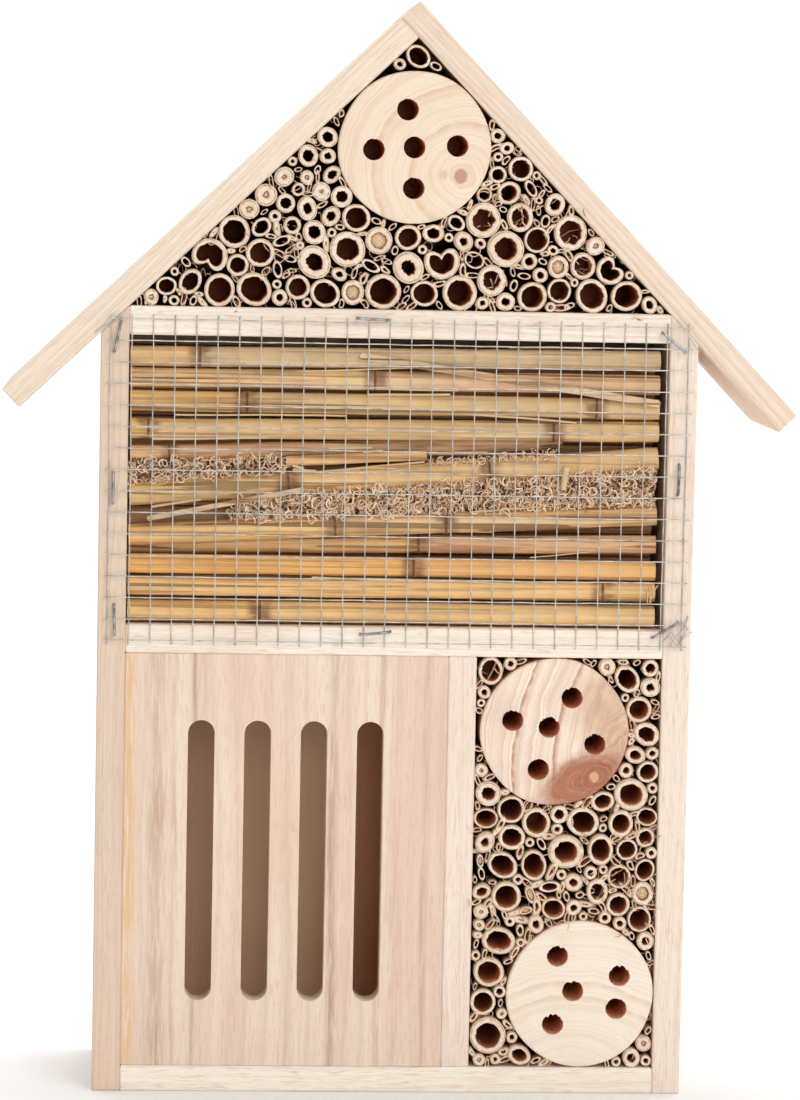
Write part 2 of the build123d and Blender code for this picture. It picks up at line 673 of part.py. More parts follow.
# Each cane: height above the middle shelf at its left and right end, diameter, how much deeper
# than the front of the stack its left and right end lie, and where its node rings are, as shares
# of its length. Heights and diameters are for a stack of this height, and follow the storey.
cane_list_height = 105.2
canes = [
    (97.3, 98.6, 7.8, 0, 0, (0.13,)),
    (89.6, 89.9, 7.4, 0, 0, (0.46,)),
    (81.2, 80.9, 7.6, 0, 0, (0.22, 0.88)),
    (71.0, 72.7, 7.8, 0, 0, (0.035, 0.80)),
    (62.1, 67.4, 6.0, 0, 7.4, (0.05,)),
    (59.8, 63.0, 4.4, 0, 0, ()),
    (46.6, 63.3, 8.2, 0, 0, (0.30, 0.68)),
    (32.3, 42.0, 8.2, 0, 0, (0.39,)),
    (28.1, 31.1, 7.2, 7.8, 0.2, (0.55,)),
    (21.9, 21.2, 7.7, 0, 0, (0.54,)),
    (13.7, 13.3, 7.2, 0, 0, (0.90,)),
    (4.7, 4.4, 8.0, 0, 0, (0.25,)),
]
short_canes = {5: (0.0, 0.82), 6: (0.295, 0.56)}      # number: where it starts and ends in the stack
cane_scale = cane_storey / cane_list_height
cane_left = -half_inside + cane_left_gap
cane_right = half_inside - cane_right_gap


def cane_ends(number):
    """Both ends of a cane's axis as (across, depth, up)."""
    left_up, right_up, diameter, left_deep, right_deep, _ = canes[number - 1]
    start, stop = short_canes.get(number, (0, 1))
    span = cane_right - cane_left
    middle_depth = cane_front + diameter * cane_scale / 2
    return (
        np.array([cane_left + start * span, middle_depth + left_deep, middle_top + left_up * cane_scale]),
        np.array([cane_left + stop * span, middle_depth + right_deep, middle_top + right_up * cane_scale]),
    )


def make_cane(number):
    """A cane with raised rings at its nodes and a blind bore in each end."""
    diameter = canes[number - 1][2] * cane_scale
    rings = canes[number - 1][5]
    left, right = (place(*end) for end in cane_ends(number))
    length = (right - left).length
    over_ring = diameter / 2
    skin = over_ring - cane_ring
    bore = skin - cane_wall
    outline = [(0, bore), (0, skin)]
    for share in rings:
        at = share * length
        outline += [(at - 1.4, skin), (at - 0.6, over_ring), (at + 0.6, over_ring), (at + 1.4, skin)]
    outline += [(length, skin), (length, bore), (length - cane_end_bore, bore), (length - cane_end_bore, 0)]
    outline += [(cane_end_bore, 0), (cane_end_bore, bore)]
    along = (right - left).normalized()
    side_on = Plane(origin=left, x_dir=along, z_dir=Vector(0, -1, 0) - along * along.dot(Vector(0, -1, 0)))
    with BuildPart() as cane:
        with BuildSketch(side_on):
            with BuildLine():
                Polyline(*outline, close=True)
            make_face()
        revolve(axis=Axis(left, along))
    save(cane, f"cane_{number:02d}")


for cane_number in range(1, len(canes) + 1):
    make_cane(cane_number)

rear_rows = int((cane_storey - rear_cane_pitch / 2) / rear_cane_pitch)
rear_layers = int((inside_depth - rear_canes_start) / rear_cane_pitch)
rear_radius = rear_cane_diameter / 2
rear_start = Plane(origin=place(cane_left, 0, 0), x_dir=(0, 1, 0), z_dir=(1, 0, 0))
lowest_rear = middle_top + end_gap + rear_radius
rear_at = [
    (rear_canes_start + rear_radius + layer * rear_cane_pitch, lowest_rear + row * rear_cane_pitch)
    for layer in range(rear_layers)
    for row in range(rear_rows)
]
with BuildPart() as rear_canes:
    with BuildSketch(rear_start):
        with Locations(*rear_at):
            Circle(rear_radius)
            Circle(rear_radius - cane_wall, mode=Mode.SUBTRACT)
    extrude(amount=cane_right - cane_left)
save(rear_canes, "rear_canes")


def cane_edge(number, across, above):
    """Height of a cane's upper or lower edge at a place across, with the wool's clearance."""
    left, right = cane_ends(number)
    up = left[2] + (right[2] - left[2]) * (across - left[0]) / (right[0] - left[0])
    reach = canes[number - 1][2] * cane_scale / 2 + wool_gap
    return up + reach if above else up - reach


def make_wool(label, under, over, spans):
    """Wood wool between two canes, as plain closed pads that end short of what lies beside them."""
    with BuildPart() as wool:
        for start, stop in spans:
            with BuildSketch(front(wool_front)):
                with BuildLine():
                    Polyline(
                        (start, cane_edge(under, start, True)),
                        (stop, cane_edge(under, stop, True)),
                        (stop, cane_edge(over, stop, False)),
                        (start, cane_edge(over, start, False)),
                        close=True,
                    )
                make_face()
            extrude(amount=-wool_depth)
    save(wool, label)


short_cane_left = cane_ends(6)[0][0]
make_wool("wood_wool_upper", 7, 5, [(cane_left, short_cane_left - wool_gap)])
make_wool("wood_wool_lower", 8, 7, [(0.6 * cane_left, 0.98 * cane_right)])


def make_strip(label, start, stop, width, thickness):
    """A flat split of cane lying in front of the stack, from start to stop on the front view."""
    start, stop = np.array(start), np.array(stop)
    length = float(np.hypot(*(stop - start)))
    turn = math.degrees(math.atan2(*(stop - start)[::-1]))
    with BuildPart() as strip:
        with BuildSketch(front(cane_front - wool_gap - thickness)):
            with Locations(tuple((start + stop) / 2)):
                SlotOverall(length, width, rotation=turn)
        extrude(amount=-thickness)
    save(strip, label)


make_strip(
    "split_strip", (-0.15 * half_inside, middle_top + 98.8 * cane_scale),
    (cane_right, middle_top + 83.0 * cane_scale), 2.6, 1.2,
)
make_strip(
    "split_sliver", (0.93 * cane_left, middle_top + 38.5 * cane_scale),
    (0.35 * cane_left, middle_top + 50.0 * cane_scale), 1.8, 1.2,
)

# ---- Wire mesh and staples -------------------------------------------------------------------

upright_depth = -wire_touch - wire_diameter / 2
level_depth = upright_depth - wire_diameter - wire_touch
mesh_low = mesh_middle - mesh_half_height - mesh_tail
mesh_left = -mesh_half_width - mesh_tail
mesh_foot = Plane(origin=place(0, upright_depth, mesh_low), x_dir=(1, 0, 0), z_dir=(0, 0, 1))
mesh_side = Plane(origin=place(mesh_left, level_depth, mesh_middle), x_dir=(0, 1, 0), z_dir=(1, 0, 0))
with BuildPart() as wire_mesh:
    with BuildSketch(mesh_foot):
        with GridLocations(mesh_pitch, 0, mesh_columns, 1):
            Circle(wire_diameter / 2)
    extrude(amount=2 * (mesh_half_height + mesh_tail))
    with BuildSketch(mesh_side):
        with GridLocations(0, mesh_pitch, 1, mesh_rows):
            Circle(wire_diameter / 2)
    extrude(amount=2 * (mesh_half_width + mesh_tail))
save(wire_mesh, "wire_mesh")

leg_reach = staple_leg + abs(front_most) - staple_wire
with BuildPart() as mesh_staples:
    for plane in staple_planes:
        with BuildLine(Plane(origin=plane.origin, x_dir=plane.x_dir, z_dir=-plane.y_dir)) as bend:
            FilletPolyline(
                (-half_crown, -leg_reach), (-half_crown, 0), (half_crown, 0), (half_crown, -leg_reach),
                radius=staple_bend,
            )
        with BuildSketch(Plane(origin=bend.line @ 0, z_dir=bend.line % 0)):
            Circle(staple_wire / 2)
        sweep(path=bend.line)
save(mesh_staples, "mesh_staples")
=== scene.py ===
"""The looks of a wooden insect hotel, built around its fixed frame.

Lengths in the panel are in metres. Places on the front view are counted from the middle of the
body and from the ground; the front faces -Y.
"""

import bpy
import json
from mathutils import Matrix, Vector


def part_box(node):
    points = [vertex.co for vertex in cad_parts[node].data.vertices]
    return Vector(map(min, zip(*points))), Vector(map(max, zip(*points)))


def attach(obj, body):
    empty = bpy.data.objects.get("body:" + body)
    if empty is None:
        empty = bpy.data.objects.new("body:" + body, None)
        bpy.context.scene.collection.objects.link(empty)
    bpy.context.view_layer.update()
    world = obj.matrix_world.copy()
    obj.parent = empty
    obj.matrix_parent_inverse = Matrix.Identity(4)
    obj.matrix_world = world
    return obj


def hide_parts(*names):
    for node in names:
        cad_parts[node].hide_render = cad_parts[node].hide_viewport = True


bl_info = {
    "name": "Insect Hotel",
    "version": (1, 0, 0),
    "blender": (4, 5, 0),
    "location": "3D View > Sidebar > Insect Hotel",
    "description": "Builds the wood, reeds, canes, wire mesh and stage of an insect hotel",
    "category": "Object",
}

import json
import math

import bmesh
import bpy
import numpy as np
from bpy.props import FloatProperty, FloatVectorProperty, IntProperty, PointerProperty
from mathutils import Matrix, Vector

MM = 0.001
WELD = 1e-6  # corners nearer than this are one

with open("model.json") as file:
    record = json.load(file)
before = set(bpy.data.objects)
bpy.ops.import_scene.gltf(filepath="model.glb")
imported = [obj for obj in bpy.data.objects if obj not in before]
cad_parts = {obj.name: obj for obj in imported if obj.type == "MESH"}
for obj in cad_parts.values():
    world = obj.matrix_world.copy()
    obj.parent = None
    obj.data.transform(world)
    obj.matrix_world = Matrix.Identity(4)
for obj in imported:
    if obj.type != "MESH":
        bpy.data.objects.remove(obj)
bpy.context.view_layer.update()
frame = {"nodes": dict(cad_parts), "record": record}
nodes = frame["nodes"]

# ---- The frame's own places --------------------------------------------------------------------

left_wall_low, left_wall_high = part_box("left_wall")
right_wall_low, right_wall_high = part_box("right_wall")
BODY_MIDDLE = (left_wall_low.x + right_wall_high.x) / 2
FRONT = left_wall_low.y
HOTEL_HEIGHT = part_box("roof_board_right")[1].z


def on_front(across, up, depth=0.0):
    """A point given in millimetres: across from the body's middle, up from the ground, depth inwards."""
    return Vector((BODY_MIDDLE + across * MM, FRONT + depth * MM, up * MM))


def solids_of(node):
    """The separate solids of a CAD node, each as an array of its corners."""
    merged = bmesh.new()
    merged.from_mesh(nodes[node].data)
    bmesh.ops.remove_doubles(merged, verts=merged.verts, dist=WELD)
    unseen = set(merged.verts)
    solids = []
    while unseen:
        stack = [unseen.pop()]
        corners = []
        while stack:
            corner = stack.pop()
            corners.append(corner.co[:])
            for edge in corner.link_edges:
                other = edge.other_vert(corner)
                if other in unseen:
                    unseen.remove(other)
                    stack.append(other)
        solids.append(np.array(corners))
    merged.free()
    return sorted(solids, key=lambda corners: tuple(corners.mean(0).round(6)))


# ---- Helpers for meshes and node trees ------------------------------------------------------------


def new_object(name, data):
    """Links a new object to the scene."""
    piece = bpy.data.objects.new(name, data)
    bpy.context.scene.collection.objects.link(piece)
    return piece


def mesh_object(name, corners, edges=(), faces=(), **attributes):
    """An object from corners, edges and faces, with a value of each named attribute per corner."""
    mesh = bpy.data.meshes.new(name)
    mesh.from_pydata([tuple(corner) for corner in corners], list(edges), list(faces))
    for key, values in attributes.items():
        values = np.asarray(values, dtype=np.float32)
        kind = "FLOAT_VECTOR" if values.ndim == 2 else "FLOAT"
        layer = mesh.attributes.new(key, kind, "POINT")
        layer.data.foreach_set("vector" if values.ndim == 2 else "value", values.ravel())
    return new_object(name, mesh)


def columns_of(rows):
    """The named values of each point, turned from one dictionary per point into one list per name."""
    return {key: [row[key] for row in rows] for key in rows[0]}


def feed(tree, node, inputs):
    """Sets or links a node's inputs by name or number. A colour may come without its alpha."""
    for key, value in inputs.items():
        socket = node.inputs[key]
        if isinstance(value, bpy.types.NodeSocket):
            tree.links.new(value, socket)
        else:
            socket.default_value = (*value[:3], 1.0) if socket.type == "RGBA" else value
    return node


def put(tree, kind, inputs=None, **options):
    """Adds a node with its options and inputs."""
    node = tree.nodes.new(kind)
    for key, value in options.items():
        setattr(node, key, value)
    return feed(tree, node, inputs or {})


class Sums:
    """Writes arithmetic as nodes, for shader and geometry trees alike."""

    def __init__(self, tree):
        self.tree = tree

    def math(self, operation, first, second=0.0, third=None, clamp=False):
        inputs = {0: first, 1: second}
        if third is not None:
            inputs[2] = third
        return put(self.tree, "ShaderNodeMath", inputs, operation=operation, use_clamp=clamp).outputs[0]

    def times(self, first, *others):
        for other in others:
            first = self.math("MULTIPLY", first, other)
        return first

    def plus(self, first, second):
        return self.math("ADD", first, second)

    def minus(self, first, second):
        return self.math("SUBTRACT", first, second)

    def vector(self, operation, first, second=None, scale=None):
        inputs = {0: first}
        if second is not None:
            inputs[1] = second
        if scale is not None:
            inputs["Scale"] = scale
        node = put(self.tree, "ShaderNodeVectorMath", inputs, operation=operation)
        return node.outputs["Value" if operation in ("DOT_PRODUCT", "LENGTH") else "Vector"]

    def stretch(self, vector, by):
        return self.vector("MULTIPLY", vector, by)

    def combine(self, x=0.0, y=0.0, z=0.0):
        return put(self.tree, "ShaderNodeCombineXYZ", {0: x, 1: y, 2: z}).outputs[0]

    def parts(self, vector):
        return put(self.tree, "ShaderNodeSeparateXYZ", {0: vector}).outputs

    def spread(self, value, low, high, to_low=0.0, to_high=1.0, kind="SMOOTHSTEP"):
        inputs = {0: value, 1: low, 2: high, 3: to_low, 4: to_high}
        return put(self.tree, "ShaderNodeMapRange", inputs, interpolation_type=kind).outputs[0]

    def noise(self, vector, scale, detail=3.0, roughness=0.5, stretch=None):
        if stretch:
            vector = self.stretch(vector, stretch)
        inputs = {"Vector": vector, "Scale": scale, "Detail": detail, "Roughness": roughness}
        return put(self.tree, "ShaderNodeTexNoise", inputs).outputs[0]

    def tint(self, color, value, low, high, strength, other):
        """Blends another colour in where the value rises from low to high."""
        return self.blend(self.times(self.spread(value, low, high), strength), color, other)

    def blend(self, amount, first, second):
        """Mixes two colours."""
        inputs = {0: amount, 6: first, 7: second}
        return put(self.tree, "ShaderNodeMix", inputs, data_type="RGBA").outputs[2]


def once(build):
    """Lets a function build its node group once, and finds that group again afterwards."""

    def found():
        name = build.__name__
        return bpy.data.node_groups[name] if name in bpy.data.node_groups else build(name)

    return found


def new_group(name, inputs, outputs, kind="ShaderNodeTree"):
    """An empty node group. Each input's name comes with its socket type or, for a number, its default."""
    group = bpy.data.node_groups.new(name, kind)
    for label, given in inputs.items():
        socket = given if isinstance(given, str) else "Int" if isinstance(given, int) else "Float"
        made = group.interface.new_socket(label, in_out="INPUT", socket_type="NodeSocket" + socket)
        if socket != given:
            made.default_value = given
    for label, socket in outputs.items():
        group.interface.new_socket(label, in_out="OUTPUT", socket_type="NodeSocket" + socket)
    return group, group.nodes.new("NodeGroupInput").outputs, group.nodes.new("NodeGroupOutput").inputs


def new_tree(name, inputs):
    """An empty geometry tree that takes a geometry and a material, and its own inputs."""
    inputs = {"Geometry": "Geometry", **inputs, "Material": "Material"}
    return new_group(name, inputs, {"Geometry": "Geometry"}, "GeometryNodeTree")


def end_tree(tree, geometry, given, out, smooth=True):
    """Ends a geometry tree with one real, shaded geometry."""
    if smooth:
        geometry = put(tree, "GeometryNodeSetShadeSmooth", {"Geometry": geometry}).outputs[0]
    geometry = put(tree, "GeometryNodeRealizeInstances", {"Geometry": geometry}).outputs[0]
    inputs = {"Geometry": geometry, "Material": given["Material"]}
    tree.links.new(put(tree, "GeometryNodeSetMaterial", inputs).outputs[0], out["Geometry"])
    return tree


def read(tree, name, kind="FLOAT"):
    """A named attribute in a geometry tree."""
    return put(tree, "GeometryNodeInputNamedAttribute", {"Name": name}, data_type=kind).outputs[0]


def store(tree, geometry, name, value, kind="FLOAT"):
    """Keeps a value on the geometry under a name."""
    inputs = {"Geometry": geometry, "Name": name, "Value": value}
    return put(tree, "GeometryNodeStoreNamedAttribute", inputs, data_type=kind, domain="POINT").outputs[0]


def new_material(name):
    """A material with only a Principled shader, its tree and that shader."""
    material = bpy.data.materials.new(name)
    material.use_nodes = True
    tree = material.node_tree
    tree.nodes.clear()
    shader = tree.nodes.new("ShaderNodeBsdfPrincipled")
    output = tree.nodes.new("ShaderNodeOutputMaterial")
    tree.links.new(shader.outputs[0], output.inputs["Surface"])
    return material, tree, shader


def place_group(tree, group, inputs):
    """Places a node group with its own values."""
    return put(tree, "ShaderNodeGroup", inputs, node_tree=group).outputs


def finish_shader(tree, shader, color, roughness, height, relief, specular=0.15):
    """Feeds a Principled shader with colour, roughness, a bump height in metres and its shine."""
    bump = put(tree, "ShaderNodeBump", {"Height": height, "Distance": relief, "Strength": 1.0})
    feed(tree, shader, {
        "Base Color": color, "Roughness": roughness, "Specular IOR Level": specular,
        "Normal": bump.outputs[0],
    })


def object_coordinates(tree, turn=(0, 0, 0), offset=(0, 0, 0)):
    """Object coordinates, turned so that the grain runs along Z, and shifted so boards differ."""
    source = put(tree, "ShaderNodeTexCoord").outputs["Object"]
    inputs = {"Vector": source, "Location": offset, "Rotation": turn}
    return put(tree, "ShaderNodeMapping", inputs, vector_type="POINT").outputs[0]


def attribute(tree, name):
    """The value of a mesh attribute in a material."""
    return put(tree, "ShaderNodeAttribute", attribute_name=name).outputs["Fac"]


def grown(points, tree, name, material, **values):
    """Runs a geometry tree on an object and returns the result as a plain object."""
    modifier = points.modifiers.new(name, "NODES")
    modifier.node_group = tree
    identifiers = {item.name: item.identifier for item in tree.interface.items_tree if item.in_out == "INPUT"}
    for key, value in values.items():
        modifier[identifiers[key.replace("_", " ")]] = value
    modifier[identifiers["Material"]] = material
    graph = bpy.context.evaluated_depsgraph_get()
    mesh = bpy.data.meshes.new_from_object(points.evaluated_get(graph), depsgraph=graph)
    mesh.name = name
    bpy.data.objects.remove(points)
    return new_object(name, mesh)


def settle(piece, slot, *replaced):
    """Fixes a finished piece to the frame."""
    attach(piece, "root")
    if replaced:
        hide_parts(*replaced)


def dress(node, material):
    """Gives a CAD node a material in place of its own."""
    nodes[node].data.materials.clear()
    nodes[node].data.materials.append(material)


# ---- Settings --------------------------------------------------------------------------------------


def color_prop(name, description, default):
    return FloatVectorProperty(
        name=name, description=description, default=default, subtype="COLOR", size=3, min=0, max=1,
    )


def length_prop(name, description, default):
    return FloatProperty(name=name, description=description, default=default, unit="LENGTH")


def power_prop(name, description, default):
    return FloatProperty(name=name, description=description, default=default, unit="POWER")


def share_prop(name, description, default):
    return FloatProperty(name=name, description=description, default=default)


def angle_prop(name, description, degrees):
    return FloatProperty(name=name, description=description, default=math.radians(degrees), subtype="ANGLE")


def count_prop(name, description, default, least=0):
    return IntProperty(name=name, description=description, default=default, min=least)


class HotelBoardSettings(bpy.types.PropertyGroup):
    """Planed boards."""

    light: color_prop("Early wood", "Colour of the pale wood between the grain lines", (0.87, 0.725, 0.595))
    dark: color_prop("Late wood", "Colour of the grain lines", (0.66, 0.46, 0.32))
    blush: color_prop("Blush", "Colour of the soft pink patches", (0.80, 0.58, 0.47))
    panel: color_prop("Panel streaks", "Colour of the brown streaks in the slotted panel", (0.66, 0.46, 0.33))
    grain_width: length_prop("Grain width", "Distance between grain lines", 0.0022)
    relief: length_prop("Relief", "Depth of the grain", 0.00012)
    edge: length_prop("Edge", "Rounding of the edges", 0.0005)


class HotelLogSettings(bpy.types.PropertyGroup):
    """Drilled rounds of branch wood."""

    ring: color_prop("Rings", "Colour of the growth rings", (0.74, 0.48, 0.28))
    stain: color_prop("Heartwood stain", "Colour of the red-brown stain", (0.42, 0.17, 0.095))
    bore: color_prop("Bore", "Colour of the wood inside the holes", (0.84, 0.36, 0.19))
    hole_depth: length_prop("Hole depth", "Depth of each hole", 0.045)
    ragged: length_prop("Ragged mouth", "How far splinters stand into a hole", 0.0005)
    sides: count_prop("Sides", "Corners around a log", 160, 24)


class HotelReedSettings(bpy.types.PropertyGroup):
    """Cut reeds."""

    rim: color_prop("Cut rim", "Colour of the cut wall", (0.97, 0.83, 0.68))
    skin: color_prop("Skin", "Colour of the outside", (0.66, 0.44, 0.25))
    bore: color_prop("Bore", "Colour inside, near the mouth", (0.40, 0.14, 0.065))
    # Deep bore: a darker colour far down the bore, painted shade.
    deep: color_prop("Deep bore", "Colour inside, far down", (0.36, 0.12, 0.06))
    pith: color_prop("Pith", "Colour of the pith in a filled reed", (0.88, 0.68, 0.44))
    uneven: share_prop("Unevenness", "How far a reed is from round, as a share of its radius", 0.10)
    sides: count_prop("Sides", "Corners around a reed", 30, 8)
    scraps: count_prop("Scraps", "Crushed scraps in a room's gaps", 85, 0)
    fibres: count_prop("Fibres", "Loose fibres in a room's gaps", 150, 0)
    seed: count_prop("Seed", "Seed for shapes and tones", 7)


class HotelCaneSettings(bpy.types.PropertyGroup):
    """Canes lying behind the mesh."""

    gray: color_prop("Weathered", "Colour of weathered skin", (0.52, 0.40, 0.25))
    node: color_prop("Node", "Colour around a node", (0.24, 0.12, 0.06))
    slivers: count_prop("Slivers", "Splits lying on the canes", 30, 0)
    seed: count_prop("Seed", "Seed for the splits", 5)
    ring_height: length_prop("Ring height", "How far a node stands out", 0.00045)
    bend: length_prop("Bend", "How far a cane wanders", 0.0011)
    torn_fibres: count_prop("Torn fibres", "White fibres at the torn cane end", 7, 0)


class HotelWoolSettings(bpy.types.PropertyGroup):
    """Wood wool between the canes."""

    pale: color_prop("Pale strand", "Colour of most strands", (0.98, 0.69, 0.44))
    dark: color_prop("Dark strand", "Colour of the darker strands", (0.56, 0.25, 0.12))
    strands: count_prop("Strands", "Strands in a square centimetre", 74, 1)
    width: length_prop("Strand width", "Width of a strand", 0.00050)
    curl: length_prop("Curl", "Radius of a strand's curl", 0.0020)
    wisps: count_prop("Wisps", "Strands in the thin seam beside the short cane", 150, 1)
    seed: count_prop("Seed", "Seed for places and turns", 11)


class HotelMetalSettings(bpy.types.PropertyGroup):
    """Mesh, staples, nails and hanger."""

    zinc: color_prop("Zinc", "Colour of the galvanised wire", (0.70, 0.68, 0.64))
    dull: color_prop("Dull zinc", "Colour of its dull patches", (0.42, 0.41, 0.385))
    thin: share_prop("Thinness", "Wire radius as a share of the frame's", 0.6)
    wave: length_prop("Waviness", "How far the wires wander", 0.00028)


class HotelStageSettings(bpy.types.PropertyGroup):
    """Camera, lights and floor."""

    turn: angle_prop("Turn", "View from the left", 3.49)
    tilt: angle_prop("Tilt", "View from above", 5.39)
    roll: angle_prop("Roll", "Camera roll", 1.12)
    distance: length_prop("Distance", "Camera to hotel", 1.4574)
    view: angle_prop("Field of view", "Angle over the height of the picture", 15.66)
    key: power_prop("Key light", "Power of the light above", 9.0)
    fill: power_prop("Fill light", "Power of the light in front", 8.5)
    backdrop: color_prop("Backdrop", "Colour of floor and backdrop", (0.96, 0.96, 0.96))


class HotelSettings(bpy.types.PropertyGroup):
    """Everything that the panel shows."""

    boards: PointerProperty(type=HotelBoardSettings, name="Boards", description="Planed boards")
    logs: PointerProperty(type=HotelLogSettings, name="Logs", description="Drilled logs")
    reeds: PointerProperty(type=HotelReedSettings, name="Reeds", description="Cut reeds")
    canes: PointerProperty(type=HotelCaneSettings, name="Canes", description="Canes behind the mesh")
    wool: PointerProperty(type=HotelWoolSettings, name="Wood wool", description="Wood wool")
    metal: PointerProperty(type=HotelMetalSettings, name="Metal", description="Mesh, staples and nails")
    stage: PointerProperty(type=HotelStageSettings, name="Stage", description="Camera, lights and floor")


def settings():
    return bpy.context.scene.insect_hotel


# ---- Shared shader groups --------------------------------------------------------------------------


@once
def grain_group(name):
    """Plain-sawn grain along Z: soft wandering lines, fine pores and broad tone changes."""
    group, given, out = new_group(name, {
        "Vector": "Vector", "Light": "Color", "Dark": "Color", "Blush": "Color", "Grain width": 0.002,
        "Contrast": 0.5, "Patches": 0.5,
    }, {"Color": "Color", "Roughness": "Float", "Height": "Float"})
    do = Sums(group)
    across = do.stretch(given["Vector"], (1.0, 1.0, 0.035))
    wander = do.noise(given["Vector"], 22.0, 2.0, stretch=(1.0, 1.0, 0.12))
    x, y, _ = do.parts(across)
    line_place = do.math("MULTIPLY_ADD", wander, 0.034, do.plus(x, do.times(y, 0.6)))
    phase = do.math("DIVIDE", line_place, given["Grain width"])
    line = do.noise(do.combine(phase, 0.0, 0.0), 1.0, 2.5, 0.65)
    line = do.spread(line, 0.42, 0.70)
    pores = do.noise(across, 2300.0, 2.0, 0.7, stretch=(1.0, 1.0, 1.6))
    dashes = do.noise(across, 1100.0, 2.0, 0.6, stretch=(1.0, 1.0, 3.0))
    patches = do.noise(given["Vector"], 34.0, 3.0, stretch=(1.0, 1.0, 0.22))
    color = do.blend(do.times(line, given["Contrast"]), given["Light"], given["Dark"])
    blush = do.times(do.spread(patches, 0.42, 0.72), given["Patches"])
    color = do.blend(blush, color, given["Blush"])
    color = do.tint(color, pores, 0.50, 0.70, 0.42, given["Dark"])
    color = do.tint(color, dashes, 0.57, 0.70, 0.42, given["Dark"])
    group.links.new(color, out["Color"])
    group.links.new(do.spread(pores, 0.2, 0.8, 0.55, 0.8), out["Roughness"])
    height = do.math("MULTIPLY_ADD", pores, 0.5, do.times(line, 0.5))
    group.links.new(height, out["Height"])
    return group


@once
def sawn_end_group(name):
    """Growth rings around a pith, as a saw leaves them: many faint rings and two strong ones."""
    group, given, out = new_group(name, {
        "Vector": "Vector", "Pith": "Vector", "Pale": "Color", "Ring": "Color", "First ring": 0.02,
        "Second ring": 0.03, "Ring width": 0.001, "Ring strength": 0.5, "Figure": 0.25,
    }, {"Color": "Color", "Height": "Float"})
    do = Sums(group)
    flat = do.stretch(do.vector("SUBTRACT", given["Vector"], given["Pith"]), (1.0, 0.0, 1.0))
    wobble = do.noise(given["Vector"], 55.0, 3.0, 0.6)
    far = do.math("MULTIPLY_ADD", wobble, 0.0060, do.vector("LENGTH", flat))
    fine = do.noise(do.combine(do.times(far, 1250.0)), 1.0, 2.5, 0.65)
    bands = do.noise(do.combine(do.times(far, 260.0)), 1.0, 2.0)
    broad = do.noise(given["Vector"], 60.0, 3.0)

    def strong(radius):
        """A ring with a crisp outer and a fading inner side."""
        off = do.minus(radius, far)
        inner = do.spread(off, 0.0, do.times(given["Ring width"], 2.6), 1.0, 0.0, "LINEAR")
        outer = do.spread(off, do.times(given["Ring width"], -0.4), 0.0)
        return do.times(inner, outer)

    rings = do.math("MAXIMUM", strong(given["First ring"]), strong(given["Second ring"]))
    breaks = do.spread(do.noise(given["Vector"], 300.0, 3.0), 0.2, 0.6, 0.45, 1.0)
    rings = do.times(rings, breaks, given["Ring strength"])
    faint = do.times(do.spread(fine, 0.46, 0.60), given["Figure"])
    faint = do.math("MULTIPLY_ADD", do.spread(bands, 0.45, 0.72), given["Figure"], faint)
    saw = do.noise(given["Vector"], 1500.0, 2.0, 0.7, stretch=(0.25, 1.0, 1.0))
    grit = do.noise(given["Vector"], 3200.0, 2.0, 0.7)
    color = do.blend(do.math("MAXIMUM", rings, faint), given["Pale"], given["Ring"])
    color = do.tint(color, broad, 0.4, 0.8, 0.22, given["Ring"])
    color = do.tint(color, grit, 0.50, 0.75, 0.28, given["Ring"])
    group.links.new(color, out["Color"])
    height = do.minus(do.plus(saw, grit), do.times(rings, 0.4))
    group.links.new(height, out["Height"])
    return group


@once
def knot_group(name):
    """A knot: a patch of dark, closely ringed wood with a ragged soft border."""
    group, given, out = new_group(name, {
        "Vector": "Vector", "Color": "Color", "Middle": "Vector", "Turn": "Vector", "Half size": "Vector",
        "First": "Color", "Second": "Color", "Rings": 6.0, "Strength": 0.8, "Softness": 0.35,
    }, {"Color": "Color"})
    do = Sums(group)
    off = do.vector("SUBTRACT", given["Vector"], given["Middle"])
    turned = put(group, "ShaderNodeMapping", {"Vector": off, "Rotation": given["Turn"]}, vector_type="POINT")
    oval = do.vector("DIVIDE", turned.outputs[0], given["Half size"])
    oval = do.vector("LENGTH", do.stretch(oval, (1.0, 0.0, 1.0)))
    ragged = do.math("MULTIPLY_ADD", do.noise(given["Vector"], 240.0, 4.0, 0.6), 0.7, oval)
    wavy = do.math("MULTIPLY_ADD", do.noise(given["Vector"], 150.0, 3.0), 0.55, oval)
    rings = do.noise(do.combine(do.times(wavy, given["Rings"])), 1.0, 2.0, 0.6)
    shade = do.blend(do.spread(rings, 0.38, 0.64), given["First"], given["Second"])
    inner = do.minus(1.35, given["Softness"])
    mask = do.spread(ragged, inner, do.plus(1.35, given["Softness"]), 1.0, 0.0)
    group.links.new(do.blend(do.times(mask, given["Strength"]), given["Color"], shade), out["Color"])
    return group


@once
def fibre_group(name):
    """Long fibres and tone changes on the skin of reeds, canes and strands."""
    group, given, out = new_group(name, {
        "Vector": "Vector", "First": "Color", "Second": "Color", "Fibre": 1800.0, "Tone": 0.5,
    }, {"Color": "Color", "Roughness": "Float", "Height": "Float"})
    do = Sums(group)
    fibres = do.noise(given["Vector"], given["Fibre"], 3.0, 0.65)
    broad = do.noise(given["Vector"], 90.0, 3.0)
    amount = do.plus(do.times(fibres, 0.5), do.times(broad, 0.7))
    amount = do.math("ADD", amount, do.minus(given["Tone"], 0.6), clamp=True)
    group.links.new(do.blend(amount, given["First"], given["Second"]), out["Color"])
    group.links.new(do.spread(fibres, 0.2, 0.8, 0.38, 0.62), out["Roughness"])
    group.links.new(fibres, out["Height"])
    return group


# ---- Boards ------------------------------------------------------------------------------------------


